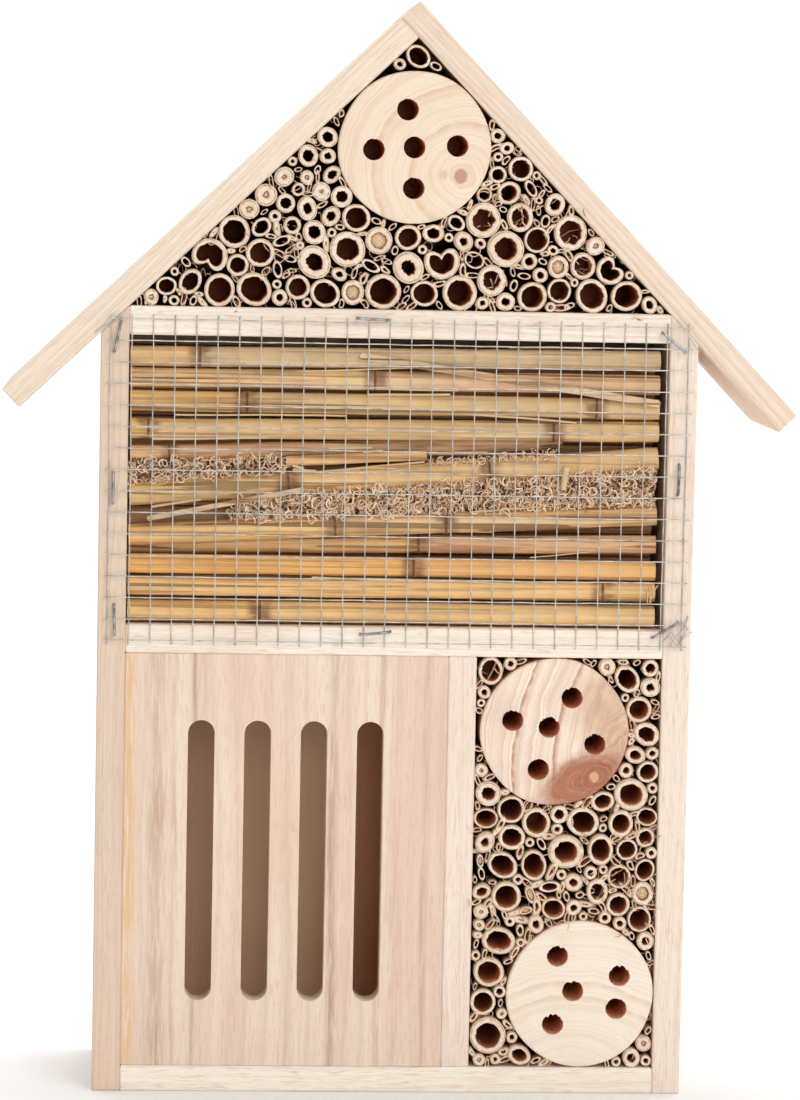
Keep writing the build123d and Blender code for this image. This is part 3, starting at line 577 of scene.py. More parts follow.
def shaded_inside(tree, color):
    """The back panel's colour: a deeper warm brown inside the hotel, darkest near the divider."""
    do = Sums(tree)
    across, depth, _ = do.parts(object_coordinates(tree))
    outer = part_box("back_panel")[1].y
    near_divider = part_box("divider_board")[0].x
    # Towards the divider the inner face turns a darker red-brown: painted shade of the divider.
    warm = do.blend(
        do.spread(across, near_divider - 0.042, near_divider - 0.036), (1.0, 0.68, 0.44), (0.69, 0.34, 0.20),
    )
    inside = do.spread(depth, outer - 0.0020, outer - 0.0005, 0.85, 0.0)
    return do.blend(inside, color, warm)


def board_material(name, turn, offset, contrast, patches, light=None, inside=None):
    """Planed wood whose grain runs along the board; inside(tree, color) may change its colour."""
    look = settings().boards
    material, tree, shader = new_material(name)
    wood = place_group(tree, grain_group(), {
        "Vector": object_coordinates(tree, turn, offset), "Light": light or look.light, "Dark": look.dark,
        "Blush": look.blush, "Grain width": look.grain_width, "Contrast": contrast, "Patches": patches,
    })
    color = inside(tree, wood["Color"]) if inside else wood["Color"]
    finish_shader(tree, shader, color, wood["Roughness"], wood["Height"], look.relief)
    return material


def roof_pitch(node):
    """A roof board's slope, from its box."""
    low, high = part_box(node)
    return math.atan2(high.z - low.z, high.x - low.x)


def softened(node, material, width, shortest=0.003):
    """A copy of a board with its long sharp edges rounded, standing for the CAD node."""
    soft = bmesh.new()
    soft.from_mesh(nodes[node].data)
    bmesh.ops.remove_doubles(soft, verts=soft.verts, dist=WELD)
    bmesh.ops.dissolve_limit(soft, angle_limit=math.radians(1), verts=soft.verts, edges=soft.edges)
    sharp = [
        edge for edge in soft.edges
        if edge.is_manifold and edge.calc_length() > shortest and edge.calc_face_angle() > math.radians(30)
    ]
    bmesh.ops.bevel(
        soft, geom=sharp, offset=width, segments=2, profile=0.5, affect="EDGES", clamp_overlap=True,
    )
    mesh = bpy.data.meshes.new(node + "_soft")
    soft.to_mesh(mesh)
    soft.free()
    mesh.materials.append(material)
    piece = new_object(node + "_soft", mesh)
    settle(piece, "board", node)


class HOTEL_OT_boards(bpy.types.Operator):
    """Planes walls, shelves, roof and divider, with softened edges"""

    bl_idname = "insect_hotel.boards"
    bl_label = "Boards"

    def execute(self, context):
        look = settings().boards
        upright = 0.0
        level = math.radians(-90)
        # Each board's pale-wood colour. The left wall's darker colour and the right wall's lighter one are
        # partly the wood's own tone and partly painted shade and painted light, from light falling from the
        # right.
        boards = (
            ("left_wall", upright, 0.60, 0.70, (0.80, 0.64, 0.50)),
            ("right_wall", upright, 0.42, 0.35, (0.91, 0.79, 0.68)),
            ("divider_board", upright, 0.35, 0.25, (0.92, 0.79, 0.69)),
            ("floor_board", level, 0.35, 0.25, (1.0, 0.93, 0.81)),
            ("middle_shelf", level, 0.40, 0.45, (0.98, 0.885, 0.77)),
            ("top_shelf", level, 0.40, 0.45, (1.0, 0.94, 0.83)),
            ("roof_board_left", level + roof_pitch("roof_board_left"), 0.60, 0.45, (0.92, 0.79, 0.65)),
            ("roof_board_right", level - roof_pitch("roof_board_right"), 0.65, 0.50, look.light),
        )
        for number, (node, turn, contrast, patches, light) in enumerate(boards):
            offset = (0.31 * number, 0.17 * number, 0.23 * number)
            wood = board_material(node + "_wood", (0, turn, 0), offset, contrast, patches, light)
            softened(node, wood, look.edge)
        offset = (2.0, 0.4, 0.9)
        wood = board_material("back_panel_wood", (0, 0, 0), offset, 0.5, 0.4, inside=shaded_inside)
        dress("back_panel", wood)
        return {"FINISHED"}


# Streaks of the slotted panel: across from the body's middle, half width (millimetres), strength
# and colour.
STREAKS = (
    (-87.0, 6.5, 0.42, (0.66, 0.47, 0.36)), (-96.8, 3.2, 0.80, (0.78, 0.48, 0.22)),
    (-86.5, 3.6, 0.88, (0.58, 0.40, 0.29)), (-80.5, 1.4, 0.65, (0.62, 0.38, 0.30)),
    (-72.2, 1.1, 0.95, (0.40, 0.27, 0.20)),
    (-69.0, 3.0, 0.68, (0.68, 0.45, 0.36)), (-56.0, 4.0, 0.60, (0.72, 0.50, 0.42)),
    (-38.0, 2.2, 0.43, (0.70, 0.52, 0.38)), (-21.5, 2.0, 0.92, (0.52, 0.34, 0.24)),
    (-17.0, 3.4, 0.62, (0.74, 0.49, 0.41)), (-4.5, 1.3, 0.78, (0.58, 0.36, 0.28)),
    (2.0, 3.2, 0.62, (0.70, 0.46, 0.38)), (12.8, 1.6, 0.80, (0.62, 0.38, 0.32)),
    (19.0, 2.6, 0.43, (0.66, 0.47, 0.37)),
)


class HOTEL_OT_slotted_panel(bpy.types.Operator):
    """Gives the slotted panel its streaky upright grain"""

    bl_idname = "insect_hotel.slotted_panel"
    bl_label = "Slotted panel"

    def execute(self, context):
        look = settings().boards
        material, tree, shader = new_material("slotted_panel_wood")
        do = Sums(tree)
        place = object_coordinates(tree)
        wood = place_group(tree, grain_group(), {
            "Vector": place, "Light": (0.88, 0.735, 0.60), "Dark": look.panel, "Blush": look.blush,
            "Grain width": 0.0046, "Contrast": 0.45, "Patches": 0.80,
        })
        color = wood["Color"]
        wander = do.noise(place, 30.0, 3.0, 0.6, stretch=(1.0, 1.0, 0.25))
        frayed = do.spread(do.noise(place, 900.0, 3.0, 0.7, stretch=(1.0, 1.0, 0.06)), 0.34, 0.58, 0.25, 1.0)
        faded = do.spread(do.noise(place, 45.0, 2.0, stretch=(1.0, 1.0, 0.5)), 0.30, 0.60, 0.45, 1.0)
        x, _, _ = do.parts(place)
        x = do.math("MULTIPLY_ADD", do.minus(wander, 0.5), 0.0075, x)
        for across, half, strength, shade in STREAKS:
            off = do.math("ABSOLUTE", do.minus(x, BODY_MIDDLE + across * MM))
            mask = do.spread(off, 0.0, 1.5 * half * MM, 1.0, 0.0)
            color = do.blend(do.times(mask, frayed, faded, strength), color, shade)
        finish_shader(tree, shader, color, wood["Roughness"], wood["Height"], look.relief)
        softened("slotted_panel", material, look.edge, shortest=0.0)
        return {"FINISHED"}


# ---- Logs --------------------------------------------------------------------------------------------

# Each log: the pith's place from its middle (across, up), the radii of its two strong rings and
# their width, how strong they are, how much figure the wood has, and how ragged its holes are.
# Millimetres.
LOGS = {
    "gable_log": ((17.6, -9.9), (22.0, 36.0), 1.2, 0.85, 0.36, 0.8),
    "upper_log": ((94.0, -15.0), (97.0, 112.5), 0.8, 1.0, 0.30, 1.8),
    "lower_log": ((-3.0, -45.0), (47.5, 53.0), 1.1, 0.65, 0.28, 2.2),
}
CHAMFER = 0.0006
HOLE_SIDES = 44
BULGES = 5


def log_holes(node):
    """Across, up and radius of each hole of a log, from the record's openings (the square inside each)."""
    holes = []
    for opening in frame["record"]["physics"]["openings"]:
        if opening["name"].startswith(node + "_hole"):
            low, high = opening["box_m"]
            radius = (high[0] - low[0]) / math.sqrt(2)
            holes.append(((low[0] + high[0]) / 2, (low[2] + high[2]) / 2, radius))
    return holes


def lathe(name, outline_at, depths, sides):
    """A closed round solid along Y. outline_at(turn, index) gives the radius at each depth."""
    corners, faces = [], []
    for index, depth in enumerate(depths):
        for side in range(sides):
            turn = 2 * math.pi * side / sides
            radius = outline_at(turn, index)
            corners.append((radius * math.cos(turn), depth, radius * math.sin(turn)))
    for index in range(len(depths) - 1):
        for side in range(sides):
            after = (side + 1) % sides
            low, high = index * sides, (index + 1) * sides
            faces.append((low + side, high + side, high + after, low + after))
    faces.append(tuple(range(sides)))
    faces.append(tuple(reversed(range((len(depths) - 1) * sides, len(depths) * sides))))
    made = mesh_object(name, corners, faces=faces)
    tidy = bmesh.new()
    tidy.from_mesh(made.data)
    bmesh.ops.recalc_face_normals(tidy, faces=tidy.faces)
    tidy.to_mesh(made.data)
    tidy.free()
    return made


def log_material(node, middle, low):
    """Sawn end grain with this log's own rings and stains, and dark bores."""
    look = settings().logs
    (pith_x, pith_z), (first, second), width, strength, figure, _ = LOGS[node]
    material, tree, shader = new_material(node + "_wood")
    do = Sums(tree)
    place = object_coordinates(tree)
    pale, ring = {
        "gable_log": ((0.94, 0.80, 0.64), (0.76, 0.52, 0.33)),
        "upper_log": ((0.98, 0.84, 0.70), (0.54, 0.25, 0.14)),
        "lower_log": ((0.97, 0.87, 0.75), (0.78, 0.55, 0.36)),
    }[node]
    sawn = place_group(tree, sawn_end_group(), {
        "Vector": place, "Pith": (middle.x + pith_x * MM, 0.0, middle.z + pith_z * MM),
        "Pale": pale, "Ring": ring, "First ring": first * MM, "Second ring": second * MM,
        "Ring width": width * MM, "Ring strength": strength, "Figure": figure,
    })
    color = sawn["Color"]

    def knot(color, across, up, wide, high, turn, first, second, strength, soft=0.35, rings=6.0):
        """A knot or stain, (across, up) from the log's middle, in millimetres and degrees."""
        return place_group(tree, knot_group(), {
            "Vector": place, "Color": color, "Middle": (middle.x + across * MM, 0.0, middle.z + up * MM),
            "Turn": (0, math.radians(turn), 0), "Half size": (wide * MM, 1.0, high * MM), "First": first,
            "Second": second, "Rings": rings, "Strength": strength, "Softness": soft,
        })["Color"]

    if node == "gable_log":
        color = knot(color, 17.0, -10.0, 2.5, 2.8, 0, look.stain, (0.66, 0.36, 0.22), 0.8, 0.25)
        color = knot(color, 10.6, -9.6, 1.6, 1.6, 0, look.ring, (0.85, 0.60, 0.40), 0.7)
    if node == "upper_log":
        color = knot(color, 17, 9, 10, 14, 20, (0.55, 0.29, 0.16), (0.74, 0.47, 0.30), 0.55, 0.6, 1.2)
        color = knot(color, 24, -4, 6, 9, 10, (0.60, 0.33, 0.19), (0.78, 0.52, 0.34), 0.6, 0.6, 1.2)
        fan = do.vector("SUBTRACT", place, (middle.x + 9 * MM, 0.0, middle.z - 10 * MM))
        fan_x, _, fan_z = do.parts(fan)
        bearing = do.math("MULTIPLY_ADD", do.noise(place, 90.0, 3.0), 0.7, do.math("ARCTAN2", fan_z, fan_x))
        feather = do.noise(do.combine(do.times(bearing, 7.0)), 1.0, 3.0, 0.7)
        feather = do.times(do.spread(feather, 0.44, 0.62), do.spread(fan_x, 0.001, 0.014))
        color = do.blend(do.times(feather, 0.6), color, (0.56, 0.30, 0.17))
        color = knot(color, 10.5, -18.0, 16.5, 8.8, 28, look.stain, (0.54, 0.25, 0.15), 1.0, 0.40, 5.5)
        color = knot(color, 15.5, -16.5, 6.2, 4.6, 28, (0.34, 0.12, 0.08), (0.55, 0.25, 0.15), 0.8, 0.40, 5.0)
        color = knot(color, 15.0, -16.5, 1.6, 1.8, 0, (0.78, 0.50, 0.30), (0.70, 0.38, 0.22), 0.9, 0.2)
    _, depth, _ = do.parts(place)
    streaks = do.noise(place, 700.0, 3.0, stretch=(1.0, 0.25, 1.0))
    bore = do.blend(do.spread(streaks, 0.3, 0.7), look.bore, (0.95, 0.52, 0.31))
    inside = do.spread(depth, low.y + 0.0003, low.y + 0.0025)
    # Further down each hole the wood is blended darker: painted shade.
    deep = do.spread(depth, low.y + 0.004, low.y + 0.030)
    color = do.blend(inside, color, bore)
    color = do.blend(do.times(deep, 0.5), color, (0.62, 0.22, 0.12))
    finish_shader(tree, shader, color, 0.72, sawn["Height"], 0.00014, specular=0.12)
    return material


class HOTEL_OT_logs(bpy.types.Operator):
    """Turns the three drilled logs, with ragged hole mouths and rings"""

    bl_idname = "insect_hotel.logs"
    bl_label = "Drilled logs"

    def execute(self, context):
        look = settings().logs
        for number, node in enumerate(LOGS):
            rng = np.random.default_rng(40 + number)
            low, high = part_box(node)
            middle = (low + high) / 2
            radius = (high.x - low.x) / 2
            bulges = rng.normal(0, 1, (BULGES, 2))

            def outline(turn, index):
                wave = sum(
                    bulges[k, 0] * math.cos((k + 2) * turn) + bulges[k, 1] * math.sin((k + 2) * turn)
                    for k in range(BULGES)
                )
                inset = 0.0005 if index in (0, 3) else 0.0
                return radius - 0.00018 - 0.00006 * wave - inset

            length = high.y - low.y
            log = lathe(node + "_turned", outline, (0, CHAMFER, length - CHAMFER, length), look.sides)
            log.data.transform(Matrix.Translation((middle.x, low.y, middle.z)))
            ragged = look.ragged * LOGS[node][5]
            for across, up, bore in log_holes(node):
                splinters = rng.random(HOLE_SIDES) ** 4

                def mouth(turn, index):
                    side = round(turn / (2 * math.pi) * HOLE_SIDES) % HOLE_SIDES
                    upper = max(0.15, math.sin(turn))
                    fade = (1.0, 1.0, 0.35, 0.1, 0.1)[index]
                    shrink = 0.45 if index == 4 else 1.0
                    return (bore - ragged * splinters[side] * upper * fade) * shrink

                depths = (-0.002, 0.0012, 0.004, look.hole_depth - 0.002, look.hole_depth)
                cutter = lathe("hole", mouth, depths, HOLE_SIDES)
                cutter.data.transform(Matrix.Translation((across, low.y, up)))
                cut = log.modifiers.new("drill", "BOOLEAN")
                cut.operation = "DIFFERENCE"
                cut.solver = "EXACT"
                cut.object = cutter
            graph = context.evaluated_depsgraph_get()
            drilled = bpy.data.meshes.new_from_object(log.evaluated_get(graph), depsgraph=graph)
            for cut in list(log.modifiers):
                bpy.data.objects.remove(cut.object)
            log.modifiers.clear()
            log.data = drilled
            drilled.materials.clear()
            drilled.materials.append(log_material(node, middle, low))
            settle(log, "log_wood", node)
        return {"FINISHED"}


# ---- Reeds -------------------------------------------------------------------------------------------

# Reeds that don't look like the rest: (across, up) on the front, what sets it apart, and the turn
# of its dent or long side in degrees.
ODD_REEDS = (
    (-70, 307, "heart", 250), (-28.5, 304.5, "heart", 60), (76.5, 304.5, "heart", 40),
    (14.5, 307, "heart", 100), (-18.5, 294.5, "filled", 0), (-8.7, 313, "filled", 0),
    (56.5, 304, "filled", 0), (93.3, 74.8, "filled", 0),
    (29.2, 321.5, "debris", 0), (42.7, 322, "debris", 0), (61, 317, "debris", 0), (30.5, 299.5, "debris", 0),
    (35.5, 156, "debris", 0), (66, 306, "debris", 0), (63, 132.8, "debris", 0), (84.2, 81, "debris", 0),
    (76.5, 75.3, "debris", 0), (77, 91, "oval", 0), (85.5, 154.5, "oval", 35), (-12.5, 304.8, "crushed", 60),
    (-45.5, 302.5, "crushed", 10), (-44.5, 312, "crushed", 110), (58.5, 76.8, "crushed", 95),
    (51.5, 74, "crushed", 20), (50, 68, "crushed", 105), (46, 333, "crushed", 30), (33, 86.5, "crushed", 5),
    (75.3, 68, "crushed", 80), (34, 102, "oval", 90),
)
ODD_REACH = 2.6  # millimetres from an odd reed's place to the reed that is meant

# Attempts at finding a gap, and the least room in one.
SCRAP_TRIES, SCRAP_ROOM = 60000, 0.0009
FIBRE_TRIES, FIBRE_ROOM = 9000, 0.0002
SCRAP_SIDES = 14

# The outline of a reed and of a scrap, ring by ring. reed_blank says what the numbers are.
REED_RINGS = (
    (1, 0.02, 0, 0, 1), (1, 1, 0, 0, 1), (1, 1, 0.006, 0, 0), (1, 1, 0.0006, 0, 0), (0.9, 1, 0.0001, 0, 0),
    (0.5, 1, 0, 0, 0), (0.12, 1, 0.0001, 0, 0), (0, 1, 0.0006, 0, 0), (0, 1, 0.002, 0.15, 0),
    (0, 1, 0.0006, 0.96, 0), (0, 0.75, 0.0003, 1, 0), (0, 0.4, 0, 1, 0), (0, 0.02, 0, 1, 0),
)
SCRAP_RINGS = (
    (1, 0.02, 0, 0, 1), (1, 1, 0, 0, 1), (1, 1, 0.0004, 0, 0), (0.5, 1, 0, 0, 0), (0, 1, 0.0004, 0, 0),
    (0, 1, 0.0006, 1, 0), (0, 0.02, 0, 1, 0),
)


def reed_blank(sides, rings=REED_RINGS):
    """One reed of radius 1 as rings of corners, from its closed back over the cut rim down the bore.

    Each ring: (wall, core, lip, deep, back): 1 outside to 0 inside, share of the radius kept,
    distance behind the rim in metres, share of the way down the bore, share of the reed's length.
    """
    turns = 2 * math.pi * np.arange(sides) / sides
    corners = [(math.cos(turn), 0, math.sin(turn)) for _ in rings for turn in turns]
    faces = []
    for index in range(len(rings) - 1):
        for side in range(sides):
            after = (side + 1) % sides
            low, high = index * sides, (index + 1) * sides
            faces.append((low + side, low + after, high + after, high + side))
    faces.append(tuple(reversed(range(sides))))
    faces.append(tuple(range((len(rings) - 1) * sides, len(rings) * sides)))
    columns = {
        key: np.repeat([ring[place] for ring in rings], sides)
        for place, key in enumerate(("wall", "core", "lip", "deep", "back"))
    }
    cut = [1.0 if 0 < ring[0] < 1 else 0.0 for ring in rings]
    columns["rim"] = np.repeat(cut, sides)
    return mesh_object("reed_blank", corners, faces=faces, outward=corners, **columns)


@once
def reed_tree(name):
    """Geometry nodes: a blank on every point, shaped by that point's own sizes."""
    tree, given, out = new_tree(name, {"Blank": "Object", "Unevenness": 0.1, "Rim chatter": 0.0004})
    do = Sums(tree)

    place = tree.nodes.new("GeometryNodeInputPosition").outputs[0]
    points = store(tree, given["Geometry"], "centre", place, "FLOAT_VECTOR")
    blank = put(tree, "GeometryNodeObjectInfo", {"Object": given["Blank"]}).outputs["Geometry"]
    laid = put(tree, "GeometryNodeInstanceOnPoints", {"Points": points, "Instance": blank}).outputs[0]
    made = put(tree, "GeometryNodeRealizeInstances", {"Geometry": laid}).outputs[0]
    outward = read(tree, "outward", "FLOAT_VECTOR")
    turn = read(tree, "turn")
    dent_way = do.combine(do.math("COSINE", turn), 0.0, do.math("SINE", turn))
    toward = do.math("MAXIMUM", do.vector("DOT_PRODUCT", outward, dent_way), 0.0)
    dent = do.times(read(tree, "dent"), do.math("POWER", toward, 5.0))
    own = do.combine(read(tree, "seed"), do.times(read(tree, "seed"), 1.7), 0.0)
    lumps = do.noise(do.vector("ADD", outward, own), 0.9, 2.0)
    lumps = do.minus(lumps, 0.5)
    rough = do.math("MULTIPLY_ADD", lumps, given["Unevenness"], 1.0)
    radius = read(tree, "radius")
    outer = do.times(radius, rough, do.minus(1.0, dent))
    thick = do.times(radius, do.minus(1.0, read(tree, "bore")))
    wall_noise = do.noise(do.vector("ADD", do.vector("SCALE", outward, scale=2.2), own), 1.8, 4.0, 0.75)
    thick = do.times(thick, do.spread(wall_noise, 0.25, 0.75, 0.72, 1.30, "LINEAR"))
    inner = do.math("MAXIMUM", do.minus(outer, thick), 0.00015)
    inputs = {0: read(tree, "wall"), 2: inner, 3: outer}
    mixed = put(tree, "ShaderNodeMix", inputs, data_type="FLOAT").outputs[0]
    spoke = do.vector("SCALE", outward, scale=do.times(mixed, read(tree, "core")))
    squash = do.times(do.vector("DOT_PRODUCT", spoke, dent_way), read(tree, "flat"))
    spoke = do.vector("SUBTRACT", spoke, do.vector("SCALE", dent_way, scale=squash))
    chatter = do.noise(do.vector("ADD", do.vector("SCALE", outward, scale=3.0), own), 2.0, 2.0)
    chatter = do.times(do.minus(chatter, 0.35), given["Rim chatter"], read(tree, "rim"))
    crumbs = do.noise(spoke, 900.0, 3.0, 0.8)
    crumbs = do.times(crumbs, read(tree, "crumbs"), do.math("POWER", read(tree, "deep"), 8.0))
    depth = do.math("MULTIPLY_ADD", read(tree, "deep"), read(tree, "plug"), read(tree, "lip"))
    depth = do.math("MULTIPLY_ADD", read(tree, "back"), read(tree, "reach"), depth)
    depth = do.plus(depth, do.minus(chatter, crumbs))
    spoke = do.vector("ADD", spoke, do.combine(0.0, depth, 0.0))
    spoke = do.vector("ADD", read(tree, "centre", "FLOAT_VECTOR"), spoke)
    made = put(tree, "GeometryNodeSetPosition", {"Geometry": made, "Position": spoke}).outputs[0]
    return end_tree(tree, made, given, out)


def reed_material():
    """Cream rims, golden skins, dark bores and crumbly pith, told apart by the reeds' attributes."""
    look = settings().reeds
    material, tree, shader = new_material("reed")
    do = Sums(tree)
    place = object_coordinates(tree)
    tone = attribute(tree, "tone")
    skin = place_group(tree, fibre_group(), {
        "Vector": do.stretch(place, (1.0, 0.06, 1.0)), "First": look.skin,
        "Second": (0.86, 0.68, 0.48), "Fibre": 1500.0, "Tone": tone,
    })
    _, depth, _ = do.parts(place)
    # Behind the front the skin is blended to near black: painted shade between the packed reeds.
    behind = do.spread(depth, FRONT + 0.001, FRONT + 0.009)
    outside = do.blend(do.times(behind, 0.85), skin["Color"], (0.06, 0.03, 0.016))
    cells = do.noise(place, 2600.0, 2.0, 0.7)
    broad = do.noise(place, 500.0, 3.0)
    rim = do.tint(look.rim, cells, 0.45, 0.75, 0.50, (0.66, 0.43, 0.26))
    rim = do.tint(rim, broad, 0.40, 0.75, 0.45, (0.74, 0.53, 0.34))
    rim = do.blend(do.times(tone, 0.30), rim, (0.74, 0.54, 0.36))
    wall = attribute(tree, "wall")
    sheath = do.times(do.spread(wall, 0.62, 0.74), do.spread(wall, 0.80, 0.90, 1.0, 0.0))
    sheath = do.times(sheath, do.spread(broad, 0.3, 0.6))
    rim = do.blend(do.times(sheath, 0.75), rim, (0.36, 0.22, 0.11))
    deep = attribute(tree, "deep")
    near = do.blend(tone, look.bore, (0.74, 0.34, 0.16))
    # The bore darkens from its colour near the mouth to the deep colour further down: painted shade.
    bore = do.blend(do.spread(deep, 0.0, 0.7), near, look.deep)
    filled = attribute(tree, "filled")
    pith = do.blend(do.spread(cells, 0.35, 0.7), look.pith, (0.52, 0.33, 0.16))
    bore = do.blend(do.times(filled, do.spread(deep, 0.3, 0.97)), bore, pith)
    inside = do.blend(do.spread(wall, 0.0, 0.06), bore, outside)
    color = do.blend(do.spread(attribute(tree, "rim"), 0.05, 0.5), inside, rim)
    height = do.math("MULTIPLY_ADD", cells, 0.8, skin["Height"])
    finish_shader(tree, shader, color, 0.62, height, 0.0002)
    return material


def reed_looks(across, up, radius, bore, rng):
    """How one reed differs from a plain tube."""
    look = {
        "dent": 0.0, "flat": rng.uniform(0, 0.10), "turn": rng.uniform(0, 6.28), "filled": 0.0,
        "plug": rng.uniform(0.022, 0.045), "crumbs": 0.0, "litter": 0.0, "bore": bore / radius,
    }
    if rng.random() < 0.22 and radius > 0.0025:
        look["flat"] = rng.uniform(0.10, 0.24)
    if look["bore"] < 0.36:
        look.update(filled=1.0, plug=0.0012, crumbs=0.0006)
    elif radius < 0.0026 and rng.random() < 0.5:
        look.update(flat=rng.uniform(0.3, 0.62), bore=min(0.75, look["bore"] + 0.2))
    for odd_across, odd_up, kind, turn in ODD_REEDS:
        if math.hypot(across - odd_across, up - odd_up) > ODD_REACH:
            continue
        look["turn"] = math.radians(turn)
        if kind == "heart":
            look.update(dent=0.62, flat=0.0)
        elif kind == "filled":
            look.update(filled=1.0, plug=0.0016, crumbs=0.0006, bore=0.60)
        elif kind == "debris":
            look.update(plug=0.02, litter=1.0)
        elif kind == "oval":
            look.update(flat=0.2)
        elif kind == "crushed":
            look.update(flat=0.5, bore=0.68)
    return look


def laid_reeds(where, tree, material, rng):
    """The reeds of one room in the places of the frame's tubes, and their circles (across, up, radius)."""
    look = settings().reeds
    groups = sorted(node for node in nodes if node.startswith(where + "_reeds"))
    centres, circles, littered, rows = [], [], [], []
    for node in groups:
        for corners in solids_of(node):
            low, high = corners.min(0), corners.max(0)
            middle = (low + high) / 2
            radius = (high[0] - low[0]) / 2
            bore = np.hypot(corners[:, 0] - middle[0], corners[:, 2] - middle[2]).min()
            centres.append((middle[0], low[1], middle[2]))
            own = {
                "radius": radius, "reach": high[1] - low[1], "seed": rng.uniform(0, 90), "tone": rng.random(),
            }
            across, up = (middle[0] - BODY_MIDDLE) / MM, middle[2] / MM
            reed = reed_looks(across, up, radius, bore, rng)
            rows.append({**own, **reed})
            circles.append((middle[0], middle[2], radius * (1 - 0.4 * reed["flat"])))
            if reed["litter"]:
                littered.append((middle[0], low[1], middle[2], bore))
    points = mesh_object(where + "_points", centres, **columns_of(rows))
    blank = reed_blank(look.sides)
    reeds = grown(points, tree, where + "_cut_reeds", material, Blank=blank, Unevenness=look.uneven)
    bpy.data.objects.remove(blank)
    settle(reeds, "reed", *groups)
    return circles, littered


def gaps_between(corners, circles, count, rng, smallest):
    """Free places inside a convex outline: (across, up, room to the nearest neighbour)."""
    corners = np.array(corners)
    low, high = corners.min(0), corners.max(0)
    tries = rng.uniform(low, high, (count, 2))
    room = np.full(count, 1.0)
    for start, end in zip(corners, np.roll(corners, -1, axis=0)):
        way = (end - start) / np.linalg.norm(end - start)
        room = np.minimum(room, (tries - start) @ np.array((-way[1], way[0])))
    for across, up, radius in circles:
        room = np.minimum(room, np.hypot(tries[:, 0] - across, tries[:, 1] - up) - radius)
    keep = room > smallest
    order = np.argsort(-room[keep])
    return tries[keep][order], room[keep][order]


def room_outline(where):
    """Corners of the gable or the nook, anticlockwise, seen from the front, and its log's circles."""
    logs = ("gable_log",) if where == "gable" else ("upper_log", "lower_log")
    circles = []
    for log in logs:
        low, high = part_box(log)
        circles.append(((low.x + high.x) / 2, (low.z + high.z) / 2, (high.x - low.x) / 2))
    if where == "nook":
        left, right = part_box("divider_board")[1].x, right_wall_low.x
        floor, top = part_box("floor_board")[1].z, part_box("middle_shelf")[0].z
        return [(left, floor), (right, floor), (right, top), (left, top)], circles
    left, right = left_wall_high.x, right_wall_low.x
    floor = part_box("top_shelf")[1].z
    slopes = math.tan(roof_pitch("roof_board_left")), math.tan(roof_pitch("roof_board_right"))
    apex = left + (right - left) * slopes[1] / (slopes[0] + slopes[1])
    return [(left, floor), (right, floor), (apex, floor + (apex - left) * slopes[0])], circles


class HOTEL_OT_reeds(bpy.types.Operator):
    """Lays the cut reeds of the gable and the nook, and the crushed scraps and fibres in their gaps"""

    bl_idname = "insect_hotel.reeds"
    bl_label = "Cut reeds"

    def scrap_looks(self, free, rng):
        """The shape of a crushed scrap in a gap with this much room."""
        longer = rng.uniform(1.2, 2.4)
        thick = rng.random() < 0.3
        return {
            "radius": min(0.0042, free * longer), "flat": min(0.8, 1.05 - 0.9 / longer),
            "bore": rng.uniform(0.1, 0.3) if thick else rng.uniform(0.45, 0.68), "reach": 0.02,
            "plug": rng.uniform(0.004, 0.012), "dent": rng.uniform(0.0, 0.5), "crumbs": 0.0, "filled": 0.0,
            "turn": rng.uniform(0, 6.28), "seed": rng.uniform(0, 90), "tone": rng.random(),
        }

    def execute(self, context):
        look = settings().reeds
        rng = np.random.default_rng(look.seed)
        material = reed_material()
        straw = strand_material("reed_fibre", (0.92, 0.76, 0.57), (0.80, 0.58, 0.38), (0.40, 0.20, 0.10))
        tree = reed_tree()
        for where in ("gable", "nook"):
            circles, littered = laid_reeds(where, tree, material, rng)
            outline, logs = room_outline(where)
            taken = circles + logs
            tries, room = gaps_between(outline, taken, SCRAP_TRIES, rng, SCRAP_ROOM)
            ceiling = logs[0][1] + 0.5 * logs[0][2] if where == "gable" else math.inf
            scraps = []
            for place, free in zip(tries, room):
                if place[1] > ceiling:
                    continue
                near = [math.hypot(place[0] - x, place[1] - z) - r for x, z, r in scraps]
                if near and min(near) < 0.9 * free:
                    continue
                scraps.append((place[0], place[1], free))
                if len(scraps) == look.scraps:
                    break
            rows = [self.scrap_looks(free, rng) for _, _, free in scraps]
            centres = [(x, FRONT + rng.uniform(0.0003, 0.0022), z) for x, z, _ in scraps]
            points = mesh_object(where + "_scraps", centres, **columns_of(rows))
            blank = reed_blank(SCRAP_SIDES, SCRAP_RINGS)
            pieces = grown(points, tree, where + "_reed_scraps", material, Blank=blank, Unevenness=0.5)
            bpy.data.objects.remove(blank)
            settle(pieces, "reed")
            tries, room = gaps_between(outline, taken, FIBRE_TRIES, rng, FIBRE_ROOM)
            picked = rng.permutation(len(tries))[:look.fibres]
            places = [
                (tries[k][0], FRONT + rng.uniform(0.0012, 0.004), tries[k][1])
                for k in picked if tries[k][1] < ceiling
            ]
            strands = lay_strands(
                where + "_fibres", places, straw, 0.00028, 0.0022, rng, (0.5, 1.3), ahead=0.001,
            )
            settle(strands, "reed")
            places = []
            for x, y, z, bore in littered:
                for turn in rng.uniform(0, 2 * math.pi, 8):
                    side, rise = 0.8 * bore * math.cos(turn), 0.8 * bore * math.sin(turn)
                    places.append((x + side, y + rng.uniform(0.002, 0.006), z + rise))
            splinters = lay_strands(
                where + "_splinters", places, straw, 0.0006, 0.0036, rng, (0.5, 1.0), 0.22, 0.0005,
            )
            settle(splinters, "reed")
        return {"FINISHED"}


# ---- Canes -------------------------------------------------------------------------------------------

